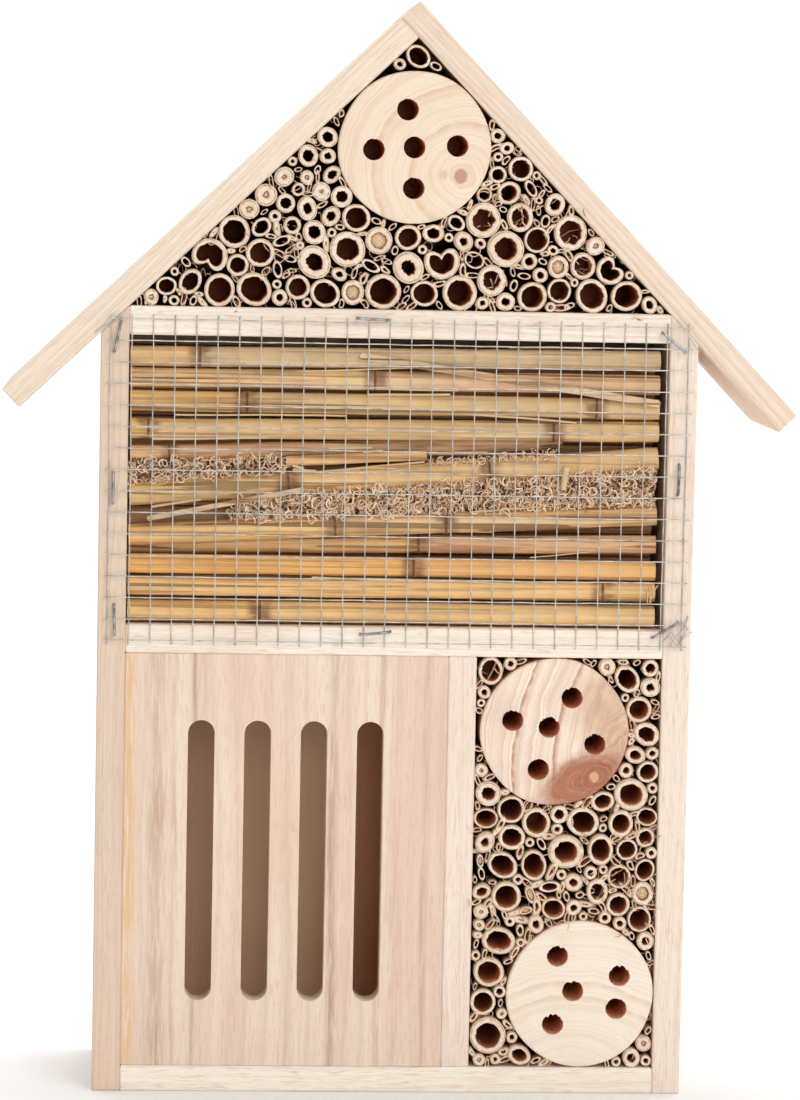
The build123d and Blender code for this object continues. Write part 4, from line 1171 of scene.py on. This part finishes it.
# Each front cane, from the top: its skin left and right of its first node, how weathered it is,
# how streaky, and its nodes as shares of its length.
CANES = (
    ((0.85, 0.48, 0.17), (0.66, 0.47, 0.26), 0.9, 0.4, (0.13,)),
    ((0.87, 0.54, 0.24), (0.80, 0.46, 0.25), 0.8, 1.0, (0.46,)),
    ((0.84, 0.52, 0.18), (0.79, 0.53, 0.24), 0.5, 0.8, (0.22, 0.88)),
    ((0.92, 0.56, 0.19), (0.82, 0.53, 0.24), 0.6, 0.6, (0.035, 0.80)),
    ((0.85, 0.44, 0.14), (0.61, 0.33, 0.17), 0.5, 1.0, (0.09,)),
    ((0.74, 0.39, 0.14), (0.74, 0.39, 0.14), 0.3, 1.0, ()),
    ((0.77, 0.48, 0.18), (0.80, 0.48, 0.19), 0.6, 0.7, (0.30, 0.68)),
    ((0.90, 0.52, 0.16), (0.74, 0.44, 0.18), 0.4, 0.9, (0.39, 0.60)),
    ((0.85, 0.48, 0.17), (0.77, 0.44, 0.23), 0.5, 0.8, (0.55,)),
    ((0.95, 0.48, 0.13), (0.92, 0.48, 0.16), 0.1, 0.4, (0.54,)),
    ((0.94, 0.57, 0.23), (0.87, 0.52, 0.21), 0.3, 0.8, (0.90,)),
    ((0.90, 0.53, 0.18), (0.92, 0.57, 0.24), 0.4, 0.5, (0.25,)),
)
# Half widths of a node's ring and stain, and the flat middle of the stain, as shares of the length.
RING, STAIN, STAIN_MIDDLE = 0.0065, 0.030, 0.012
# A pale sprout before the upper canes: (across, up, depth) in millimetres and radius of both ends.
SPROUT = (((60.5, 224, 2.2), 0.0011), ((61.3, 232.5, 1.2), 0.0014))


@once
def cane_tree(name):
    """Geometry nodes: a round, slightly bent cane with raised nodes along every edge."""
    tree, given, out = new_tree(name, {"Ring height": 0.0003, "Bend": 0.0004, "Sides": 28, "Steps": 260})
    do = Sums(tree)
    curve = put(tree, "GeometryNodeMeshToCurve", {"Mesh": given["Geometry"]}).outputs[0]
    curve = put(tree, "GeometryNodeResampleCurve", {"Curve": curve, "Count": given["Steps"]}).outputs[0]
    along = tree.nodes.new("GeometryNodeSplineParameter").outputs["Factor"]

    def near(name, width, full=0.0):
        off = do.math("ABSOLUTE", do.minus(along, read(tree, name)))
        return do.spread(off, full, width, 1.0, 0.0)

    ring = do.math("MAXIMUM", near("first_node", RING), near("second_node", RING))
    stain = do.math(
        "MAXIMUM", near("first_node", STAIN, STAIN_MIDDLE), near("second_node", STAIN, STAIN_MIDDLE),
    )
    past = do.spread(do.minus(along, read(tree, "first_node")), -0.002, 0.002)
    for key, value in (("ring", ring), ("stain", stain), ("past", past)):
        curve = store(tree, curve, key, value)
    place = tree.nodes.new("GeometryNodeInputPosition").outputs[0]
    wander = put(tree, "ShaderNodeTexNoise", {"Vector": place, "Scale": 14.0, "Detail": 2.0}).outputs[1]
    wander = do.vector("SCALE", do.vector("SUBTRACT", wander, (0.5, 0.5, 0.5)), scale=given["Bend"])
    curve = put(tree, "GeometryNodeSetPosition", {"Geometry": curve, "Offset": wander}).outputs[0]
    swell = do.noise(place, 26.0, 2.0)
    radius = do.times(read(tree, "radius"), do.spread(swell, 0.2, 0.8, 0.985, 1.03, "LINEAR"))
    radius = do.math("MULTIPLY_ADD", ring, given["Ring height"], radius)
    inputs = {"Resolution": given["Sides"], "Radius": 1.0}
    section = put(tree, "GeometryNodeCurvePrimitiveCircle", inputs).outputs[0]
    curve = put(tree, "GeometryNodeSetCurveRadius", {"Curve": curve, "Radius": radius}).outputs[0]
    inputs = {"Curve": curve, "Profile Curve": section, "Fill Caps": True}
    swept = put(tree, "GeometryNodeCurveToMesh", inputs)
    if "Scale" in swept.inputs:
        tree.links.new(tree.nodes.new("GeometryNodeInputRadius").outputs[0], swept.inputs["Scale"])
    return end_tree(tree, swept.outputs[0], given, out)


def cane_material(name, skins=None):
    """Satin cane skin with long fibres, cracks, weathering and brown nodes.

    The front canes and the splits on them carry their own skins, nodes and weathering; other canes
    come with skins given here.
    """
    look = settings().canes
    material, tree, shader = new_material(name)
    do = Sums(tree)
    place = object_coordinates(tree)
    if skins:
        first, second = skins
        weather, streaky = 0.5, 0.8
    else:
        left, right = (
            put(tree, "ShaderNodeAttribute", attribute_name=key).outputs["Color"]
            for key in ("left_skin", "right_skin")
        )
        first = do.blend(attribute(tree, "past"), left, right)
        second = do.blend(0.35, first, (0.88, 0.63, 0.36))
        weather, streaky = attribute(tree, "weather"), attribute(tree, "streaky")
    long = do.stretch(place, (0.03, 1.0, 1.0))
    skin = place_group(tree, fibre_group(), {
        "Vector": long, "First": first, "Second": second, "Fibre": 1700.0, "Tone": 0.5,
    })
    mottle = do.noise(place, 95.0, 5.0, 0.75, stretch=(0.35, 1.0, 1.0))
    color = do.tint(skin["Color"], mottle, 0.40, 0.68, weather, look.gray)
    streaks = do.noise(place, 620.0, 3.0, 0.6, stretch=(0.020, 1.0, 1.0))
    color = do.blend(do.times(do.spread(streaks, 0.47, 0.64), streaky, 0.8), color, (0.36, 0.17, 0.065))
    light = do.noise(place, 500.0, 2.0, stretch=(0.018, 1.0, 1.0))
    color = do.tint(color, light, 0.52, 0.72, 0.55, (0.93, 0.70, 0.42))
    crack = do.noise(place, 380.0, 2.0, 0.5, stretch=(0.010, 1.0, 1.0))
    crack = do.times(do.spread(crack, 0.585, 0.62), streaky)
    color = do.blend(do.times(crack, 0.8), color, (0.16, 0.075, 0.03))
    if not skins:
        ragged = do.noise(place, 320.0, 3.0, stretch=(0.4, 1.0, 1.0))
        stain = do.times(attribute(tree, "stain"), do.spread(ragged, 0.2, 0.65))
        color = do.blend(do.times(stain, 0.85), color, look.node)
        ring = do.spread(attribute(tree, "ring"), 0.3, 0.95)
        ring = do.times(ring, do.spread(ragged, 0.25, 0.5, 0.5, 0.95))
        color = do.blend(ring, color, (0.13, 0.055, 0.022))
    height = do.minus(skin["Height"], do.times(crack, 2.0))
    finish_shader(tree, shader, color, skin["Roughness"], height, 0.00025, specular=0.25)
    return material


def end_middles(corners):
    """The middles of a lengthwise piece's left and right ends."""
    low, high = corners.min(0), corners.max(0)
    ends = []
    for edge in (low[0], high[0]):
        near = corners[np.abs(corners[:, 0] - edge) < 0.0006]
        ends.append((near.min(0) + near.max(0)) / 2)
    return ends


class HOTEL_OT_canes(bpy.types.Operator):
    """Lays the front canes and splits, and colours the canes behind them"""

    bl_idname = "insect_hotel.canes"
    bl_label = "Canes"

    def slivers(self, ends):
        """Long thin splits of cane skin lying along the seams between the canes."""
        look = settings().canes
        rng = np.random.default_rng(look.seed)
        lines, rows = [], []

        def lay(place, radius, weather, streaky, skin):
            lines.append(tuple(place))
            rows.append({
                "radius": radius, "weather": weather, "streaky": streaky, "left_skin": skin,
                "right_skin": skin, "first_node": -1.0, "second_node": -1.0,
            })

        for _ in range(look.slivers):
            cane = int(rng.integers(0, len(ends) // 2))
            left, right = ends[2 * cane], ends[2 * cane + 1]
            start = rng.uniform(0.0, 0.8)
            stop = min(1.0, start + rng.uniform(0.08, 0.40))
            seam = rng.choice((-1, 1)) * rng.uniform(0.0024, 0.0042)
            forward = -rng.uniform(0.0012, 0.0026)
            thin = rng.uniform(0.0002, 0.0006)
            pair = []
            for share in (start, stop):
                place = left + share * (right - left)
                place = place + (0.0, forward, seam + rng.uniform(-0.0016, 0.0016))
                pair.append((place, rng.uniform(0.1, 0.8)))
            skin = np.array((0.66, 0.38, 0.18)) * rng.uniform(0.35, 1.1)
            for place, weather in pair:
                lay(place, thin, weather, 0.6, skin)
        for place, radius in SPROUT:
            lay(on_front(*place), radius, 0.0, 0.2, (0.98, 0.84, 0.60))
        for _ in range(look.torn_fibres):
            start = (rng.uniform(92, 94.5), rng.uniform(182, 186), 3.0)
            stop = (start[0] + rng.uniform(-1.5, 2.5), start[1] + rng.uniform(2, 6), rng.uniform(1.2, 2.4))
            for place in (start, stop):
                lay(on_front(*place), 0.00022, 0.0, 0.0, (0.99, 0.93, 0.82))
        edges = [(2 * k, 2 * k + 1) for k in range(len(lines) // 2)]
        points = mesh_object("sliver_lines", lines, edges, **columns_of(rows))
        split = grown(
            points, cane_tree(), "cane_slivers", bpy.data.materials["cane"], Ring_height=0.0, Bend=0.0024,
            Sides=7, Steps=60,
        )
        settle(split, "cane")

    def execute(self, context):
        look = settings().canes
        ends, rows, replaced = [], [], []
        for number, (left_skin, right_skin, weather, streaky, rings) in enumerate(CANES, start=1):
            node = f"cane_{number:02d}"
            corners = solids_of(node)[0]
            left, right = end_middles(corners)
            rings = [*rings, -1.0, -1.0]
            span = corners.max(0) - corners.min(0)
            lean = abs(right[2] - left[2])
            radius = min(span[1], span[2] - lean) / 2
            replaced.append(node)
            ends += [tuple(left), tuple(right)]
            rows += 2 * [{
                "radius": radius, "weather": weather, "streaky": streaky, "left_skin": left_skin,
                "right_skin": right_skin, "first_node": rings[0], "second_node": rings[1],
            }]
        edges = [(2 * k, 2 * k + 1) for k in range(len(ends) // 2)]
        points = mesh_object("cane_lines", ends, edges, **columns_of(rows))
        canes = grown(
            points, cane_tree(), "front_canes", cane_material("cane"), Ring_height=look.ring_height,
            Bend=look.bend,
        )
        settle(canes, "cane", *replaced)
        self.slivers(np.array(ends))
        # The canes behind get darker skins than the front ones: painted shade in the gaps between the front
        # canes.
        dress("rear_canes", cane_material("rear_cane", ((0.66, 0.37, 0.19), (0.80, 0.49, 0.25))))
        straw = cane_material("split_cane", ((0.80, 0.60, 0.38), (0.66, 0.44, 0.26)))
        for node in ("split_strip", "split_sliver"):
            dress(node, straw)
        return {"FINISHED"}


# ---- Strands and wood wool ---------------------------------------------------------------------------

FLATTENED = 0.12  # share of its standing out that a strand keeps
SQUARE_CENTIMETRES = 1e4  # in a square metre

# The seam of wool right of the short cane, in millimetres: left end, right end, height of its left
# end over the shelf, and rise.
SEAM = (12, 58, 59.6, 0.075)


@once
def strand_tree(name):
    """Geometry nodes: a curled flat strand on every point, each turned and sized its own way."""
    tree, given, out = new_tree(name, {
        "Width": 0.0005, "Curl": 0.002, "Rotations": 1.0, "Smallest": 0.5, "Largest": 1.2, "Seed": 1,
    })
    do = Sums(tree)

    def chance(offset, vector=True):
        kind = "FLOAT_VECTOR" if vector else "FLOAT"
        seed = do.plus(given["Seed"], float(offset))
        node = put(tree, "FunctionNodeRandomValue", {"Seed": seed}, data_type=kind)
        return node.outputs[0 if vector else 1]

    curl = given["Curl"]
    strand = put(tree, "GeometryNodeCurveSpiral", {
        "Resolution": 10, "Rotations": given["Rotations"], "Start Radius": curl,
        "End Radius": do.times(curl, 0.5), "Height": do.times(curl, 1.4),
    }).outputs[0]
    ribbon = put(tree, "GeometryNodeCurvePrimitiveQuadrilateral", {
        "Width": given["Width"], "Height": do.times(given["Width"], 0.4),
    }).outputs[0]
    inputs = {"Curve": strand, "Profile Curve": ribbon, "Fill Caps": True}
    strand = put(tree, "GeometryNodeCurveToMesh", inputs)
    size = do.spread(chance(4, False), 0.0, 1.0, given["Smallest"], given["Largest"], "LINEAR")
    stretch = do.vector("MULTIPLY_ADD", chance(6), (0.3, 0.3, 0.9))
    stretch.node.inputs[2].default_value = (0.8, 0.8, 0.7)
    laid = put(tree, "GeometryNodeInstanceOnPoints", {
        "Points": given["Geometry"], "Instance": strand.outputs[0],
        "Rotation": do.vector("SCALE", chance(3), scale=2 * math.pi),
        "Scale": do.vector("SCALE", stretch, scale=size),
    }).outputs[0]
    return end_tree(tree, laid, given, out, smooth=False)


def strand_material(name, first, second, dark):
    """Dry plant fibre in several tones."""
    material, tree, shader = new_material(name)
    do = Sums(tree)
    tone = attribute(tree, "tone")
    strand = place_group(tree, fibre_group(), {
        "Vector": object_coordinates(tree), "First": first, "Second": second, "Fibre": 900.0, "Tone": tone,
    })
    color = do.blend(do.spread(tone, 0.80, 1.0), strand["Color"], dark)
    finish_shader(tree, shader, color, 0.7, strand["Height"], 0.0001)
    return material


def lay_strands(name, places, material, width, curl, rng, sizes=(0.45, 1.1), rotations=1.0, ahead=0.0):
    """Curled strands at the given places, pressed flat where they would stand further ahead than given."""
    points = mesh_object(name, places, tone=rng.random(len(places)))
    strands = grown(
        points, strand_tree(), name, material, Width=width, Curl=curl, Rotations=rotations, Smallest=sizes[0],
        Largest=sizes[1], Seed=int(rng.integers(1, 9999)),
    )
    limit = FRONT - ahead
    corners = np.empty(3 * len(strands.data.vertices), dtype=np.float32)
    strands.data.vertices.foreach_get("co", corners)
    corners = corners.reshape(-1, 3)
    depth = corners[:, 1]
    corners[:, 1] = np.where(depth < limit, limit + FLATTENED * (depth - limit), depth)
    strands.data.vertices.foreach_set("co", corners.ravel())
    strands.data.update()
    return strands


def spots_on(node, count, rng):
    """Random places on a CAD node's surface."""
    mesh = nodes[node].data
    mesh.calc_loop_triangles()
    corners = np.array([vertex.co[:] for vertex in mesh.vertices])
    sides = np.array([triangle.vertices[:] for triangle in mesh.loop_triangles])
    first, second, third = corners[sides[:, 0]], corners[sides[:, 1]], corners[sides[:, 2]]
    area = np.linalg.norm(np.cross(second - first, third - first), axis=1)
    picked = rng.choice(len(sides), count, p=area / area.sum())
    u, v = rng.random((2, count, 1))
    over = u + v > 1
    u, v = np.where(over, 1 - u, u), np.where(over, 1 - v, v)
    return first[picked] + u * (second[picked] - first[picked]) + v * (third[picked] - first[picked])


class HOTEL_OT_wood_wool(bpy.types.Operator):
    """Fills the gaps between the canes with curled wood wool"""

    bl_idname = "insect_hotel.wood_wool"
    bl_label = "Wood wool"

    def execute(self, context):
        look = settings().wool
        rng = np.random.default_rng(look.seed)
        material = strand_material("wood_wool", look.pale, (1.0, 0.86, 0.66), look.dark)
        for node in ("wood_wool_upper", "wood_wool_lower"):
            low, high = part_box(node)
            count = int((high.x - low.x) * (high.z - low.z) * SQUARE_CENTIMETRES * look.strands)
            places = spots_on(node, count, rng)
            places += rng.uniform((-0.0008, -0.0008, -0.0012), (0.0008, 0.0030, 0.0012), places.shape)
            places[:, 1] = np.maximum(places[:, 1], low.y)
            wool = lay_strands(node + "_strands", places, material, look.width, look.curl, rng, ahead=-0.0006)
            settle(wool, "wood_wool", node)
        left, right, start, rise = SEAM
        across = rng.uniform(left, right, look.wisps)
        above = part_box("middle_shelf")[1].z / MM + start + rise * (across - left)
        places = [
            on_front(x, z + rng.uniform(-1.3, 1.3), rng.uniform(3.0, 6.0)) for x, z in zip(across, above)
        ]
        wisps = lay_strands("wood_wool_wisps", places, material, 0.0004, 0.0016, rng)
        settle(wisps, "wood_wool")
        return {"FINISHED"}


# ---- Wire mesh, staples and fasteners ---------------------------------------------------------------


@once
def wire_tree(name):
    """Geometry nodes: a slightly wavy round wire along every edge."""
    tree, given, out = new_tree(name, {"Radius": 0.0004, "Wave": 0.0002})
    do = Sums(tree)
    curve = put(tree, "GeometryNodeMeshToCurve", {"Mesh": given["Geometry"]}).outputs[0]
    curve = put(tree, "GeometryNodeResampleCurve", {"Curve": curve, "Count": 90}).outputs[0]
    place = tree.nodes.new("GeometryNodeInputPosition").outputs[0]
    wander = put(tree, "ShaderNodeTexNoise", {"Vector": place, "Scale": 75.0, "Detail": 2.0}).outputs[1]
    wander = do.stretch(do.vector("SUBTRACT", wander, (0.5, 0.5, 0.5)), (2.2, 0.25, 2.2))
    wander = do.vector("SCALE", wander, scale=given["Wave"])
    curve = put(tree, "GeometryNodeSetPosition", {"Geometry": curve, "Offset": wander}).outputs[0]
    inputs = {"Resolution": 8, "Radius": given["Radius"]}
    section = put(tree, "GeometryNodeCurvePrimitiveCircle", inputs).outputs[0]
    inputs = {"Curve": curve, "Profile Curve": section, "Fill Caps": True}
    made = put(tree, "GeometryNodeCurveToMesh", inputs)
    return end_tree(tree, made.outputs[0], given, out)


def zinc_material(name, bright, dull, roughness, metallic):
    """Galvanised steel with dull patches."""
    material, tree, shader = new_material(name)
    do = Sums(tree)
    place = object_coordinates(tree)
    patches = do.noise(place, 240.0, 4.0, 0.6)
    fine = do.noise(place, 2200.0, 2.0)
    color = do.blend(do.spread(patches, 0.35, 0.7), bright, dull)
    roughness = do.spread(patches, 0.3, 0.7, roughness, roughness + 0.2)
    finish_shader(tree, shader, color, roughness, fine, 0.00004, specular=0.5)
    shader.inputs["Metallic"].default_value = metallic
    return material


# Loose ends and crumpled bits of wire: corners as (across, up, depth) in millimetres.
STRAY_WIRES = (
    ((-110.5, 278.5, -0.9), (-107, 281.5, -1.6), (-103.5, 284.6, -1.5), (-101, 284.2, -1.1)),
    ((98.0, 168.5, -0.9), (101.5, 172.5, -2.0), (104.5, 168.8, -1.4), (107.2, 174.0, -2.0),
     (105.0, 176.5, -1.0)),
    ((100.0, 171.8, -1.9), (103.6, 167.6, -1.9), (106.4, 171.5, -1.9), (109.0, 172.6, -0.9)),
    ((101.2, 166.8, -0.9), (102.6, 170.6, -2.0), (106.0, 173.8, -2.0), (107.4, 178.4, -0.9)),
    ((100.6, 286.5, -0.9), (103.0, 283.0, -1.9), (107.6, 276.6, -1.9), (108.6, 275.2, -0.9)),
)


class HOTEL_OT_wire_mesh(bpy.types.Operator):
    """Weaves the welded wire mesh in front of the canes"""

    bl_idname = "insect_hotel.wire_mesh"
    bl_label = "Wire mesh"

    def execute(self, context):
        look = settings().metal
        ends, edges = [], []
        for corners in solids_of("wire_mesh"):
            low, high = Vector(corners.min(0)), Vector(corners.max(0))
            middle = (low + high) / 2
            span = high - low
            way = Vector((span.x / 2, 0, 0)) if span.x > span.z else Vector((0, 0, span.z / 2))
            radius = min(span) / 2
            edges.append((len(ends), len(ends) + 1))
            ends += [middle - way, middle + way]
        points = mesh_object("wire_lines", ends, edges)
        zinc = zinc_material("mesh_zinc", look.zinc, look.dull, 0.45, 0.4)
        wires = grown(points, wire_tree(), "welded_mesh", zinc, Radius=radius * look.thin, Wave=look.wave)
        settle(wires, "mesh_wire", "wire_mesh")
        bends, edges = [], []
        for wire in STRAY_WIRES:
            edges += [(len(bends) + k, len(bends) + k + 1) for k in range(len(wire) - 1)]
            bends += [on_front(across, up, depth) for across, up, depth in wire]
        points = mesh_object("stray_lines", bends, edges)
        stray = grown(points, wire_tree(), "stray_wires", zinc, Radius=0.75 * radius, Wave=2 * look.wave)
        settle(stray, "staple_wire")
        return {"FINISHED"}


class HOTEL_OT_fasteners(bpy.types.Operator):
    """Gives staples, nails, pins, screws and the hanger their zinc"""

    bl_idname = "insect_hotel.fasteners"
    bl_label = "Staples, nails and hanger"

    def execute(self, context):
        look = settings().metal
        zinc = zinc_material("fastener_zinc", (0.62, 0.62, 0.61), look.dull, 0.34, 0.85)
        for node in ("wall_nails", "roof_nails", "back_pins", "hanger_screws", "hanger_plate"):
            dress(node, zinc)
        # The staples get a darker, more metallic finish than the other fasteners: painted shade.
        steel = zinc_material("staple_metal_painted_shade", (0.50, 0.50, 0.50), (0.16, 0.16, 0.16), 0.3, 0.95)
        dress("mesh_staples", steel)
        return {"FINISHED"}


# ---- Stage -------------------------------------------------------------------------------------------


def area_light(name, place, aim, size, power, color=(1, 1, 1)):
    """A soft square light at a place, turned to its aim."""
    light = bpy.data.lights.new(name, "AREA")
    light.shape = "RECTANGLE"
    light.size, light.size_y = size
    light.energy = power
    light.color = color
    lamp = new_object(name, light)
    lamp.location = place
    lamp.rotation_euler = (Vector(aim) - Vector(place)).to_track_quat("-Z", "Y").to_euler()


class HOTEL_OT_stage(bpy.types.Operator):
    """Sets the camera, lights, floor and backdrop"""

    bl_idname = "insect_hotel.stage"
    bl_label = "Stage"

    def execute(self, context):
        look = settings().stage
        camera = bpy.data.cameras.new("camera")
        camera.sensor_fit = "VERTICAL"
        camera.sensor_height = 24.0
        camera.lens = camera.sensor_height / 2 / math.tan(look.view / 2)
        camera.clip_end = 50.0
        eye = new_object("camera", camera)
        turned = (
            Matrix.Rotation(-look.turn, 4, "Z") @ Matrix.Rotation(-look.tilt, 4, "X")
            @ Matrix.Rotation(-look.roll, 4, "Y")
        )
        aim = Vector((BODY_MIDDLE + 0.0011, FRONT, 0.5034 * HOTEL_HEIGHT))
        eye.matrix_world = (
            Matrix.Translation(aim - turned @ Vector((0, look.distance, 0)))
            @ turned @ Matrix.Rotation(math.radians(90), 4, "X")
        )
        bpy.context.scene.camera = eye

        width, ahead, behind, top, bend = 3.0, 3.0, 1.6, 3.2, 0.6
        profile = [(-ahead, 0.0), (behind - bend, 0.0)]
        profile += [
            (behind - bend + bend * math.sin(turn), bend - bend * math.cos(turn))
            for turn in np.linspace(0.1, math.pi / 2, 14)
        ]
        profile.append((behind, top))
        corners = [(side * width, y, z) for y, z in profile for side in (-1, 1)]
        faces = [(2 * k, 2 * k + 1, 2 * k + 3, 2 * k + 2) for k in range(len(profile) - 1)]
        sweep = mesh_object("backdrop", corners, faces=faces)
        for face in sweep.data.polygons:
            face.use_smooth = True
        material, tree, shader = new_material("backdrop")
        do = Sums(tree)
        cloud = do.noise(object_coordinates(tree), 3.0, 2.0)
        color = do.blend(cloud, look.backdrop, [0.985 * channel for channel in look.backdrop])
        feed(tree, shader, {"Base Color": color, "Roughness": 0.9})
        sweep.data.materials.append(material)

        middle = Vector((0, 0, 0.5 * HOTEL_HEIGHT))
        area_light("key_light", (0.75, -1.1, 1.30), middle, (0.9, 0.7), look.key, (1.0, 0.985, 0.96))
        area_light("front_fill", (0.35, -1.9, 0.55), middle, (0.9, 0.7), look.fill, (1.0, 0.99, 0.98))
        area_light("back_glow", (0.0, 0.4, 2.2), (0, 1.2, 0.3), (2.5, 1.0), 40.0)
        world = bpy.data.worlds.new("studio")
        bpy.context.scene.world = world
        world.use_nodes = True
        world.node_tree.nodes["Background"].inputs[0].default_value = (1, 1, 1, 1)
        world.node_tree.nodes["Background"].inputs[1].default_value = 0.33
        bpy.context.scene.view_settings.view_transform = "Standard"
        return {"FINISHED"}


# ---- Panel and registration --------------------------------------------------------------------------

STEPS = (
    HOTEL_OT_boards, HOTEL_OT_slotted_panel, HOTEL_OT_logs, HOTEL_OT_reeds, HOTEL_OT_canes,
    HOTEL_OT_wood_wool, HOTEL_OT_wire_mesh, HOTEL_OT_fasteners, HOTEL_OT_stage,
)


class HOTEL_PT_panel(bpy.types.Panel):
    """Builds each part of the hotel from the sidebar"""

    bl_idname = "HOTEL_PT_panel"
    bl_label = "Insect Hotel"
    bl_space_type = "VIEW_3D"
    bl_region_type = "UI"
    bl_category = "Insect Hotel"

    def draw(self, context):
        for step in STEPS:
            self.layout.operator(step.bl_idname)
        for key in HotelSettings.__annotations__:
            box = self.layout.box()
            box.label(text=key.replace("_", " ").title())
            group = getattr(context.scene.insect_hotel, key)
            for name in type(group).__annotations__:
                box.prop(group, name)


CLASSES = (
    HotelBoardSettings, HotelLogSettings, HotelReedSettings, HotelCaneSettings, HotelWoolSettings,
    HotelMetalSettings, HotelStageSettings, HotelSettings, *STEPS, HOTEL_PT_panel,
)


def register():
    for each in CLASSES:
        bpy.utils.register_class(each)
    bpy.types.Scene.insect_hotel = PointerProperty(type=HotelSettings)


def unregister():
    del bpy.types.Scene.insect_hotel
    for each in reversed(CLASSES):
        bpy.utils.unregister_class(each)


def main():
    """Builds the whole hotel."""
    register()
    for step in STEPS:
        section, name = step.bl_idname.split(".")
        getattr(getattr(bpy.ops, section), name)()


if __name__ == "__main__":
    main()
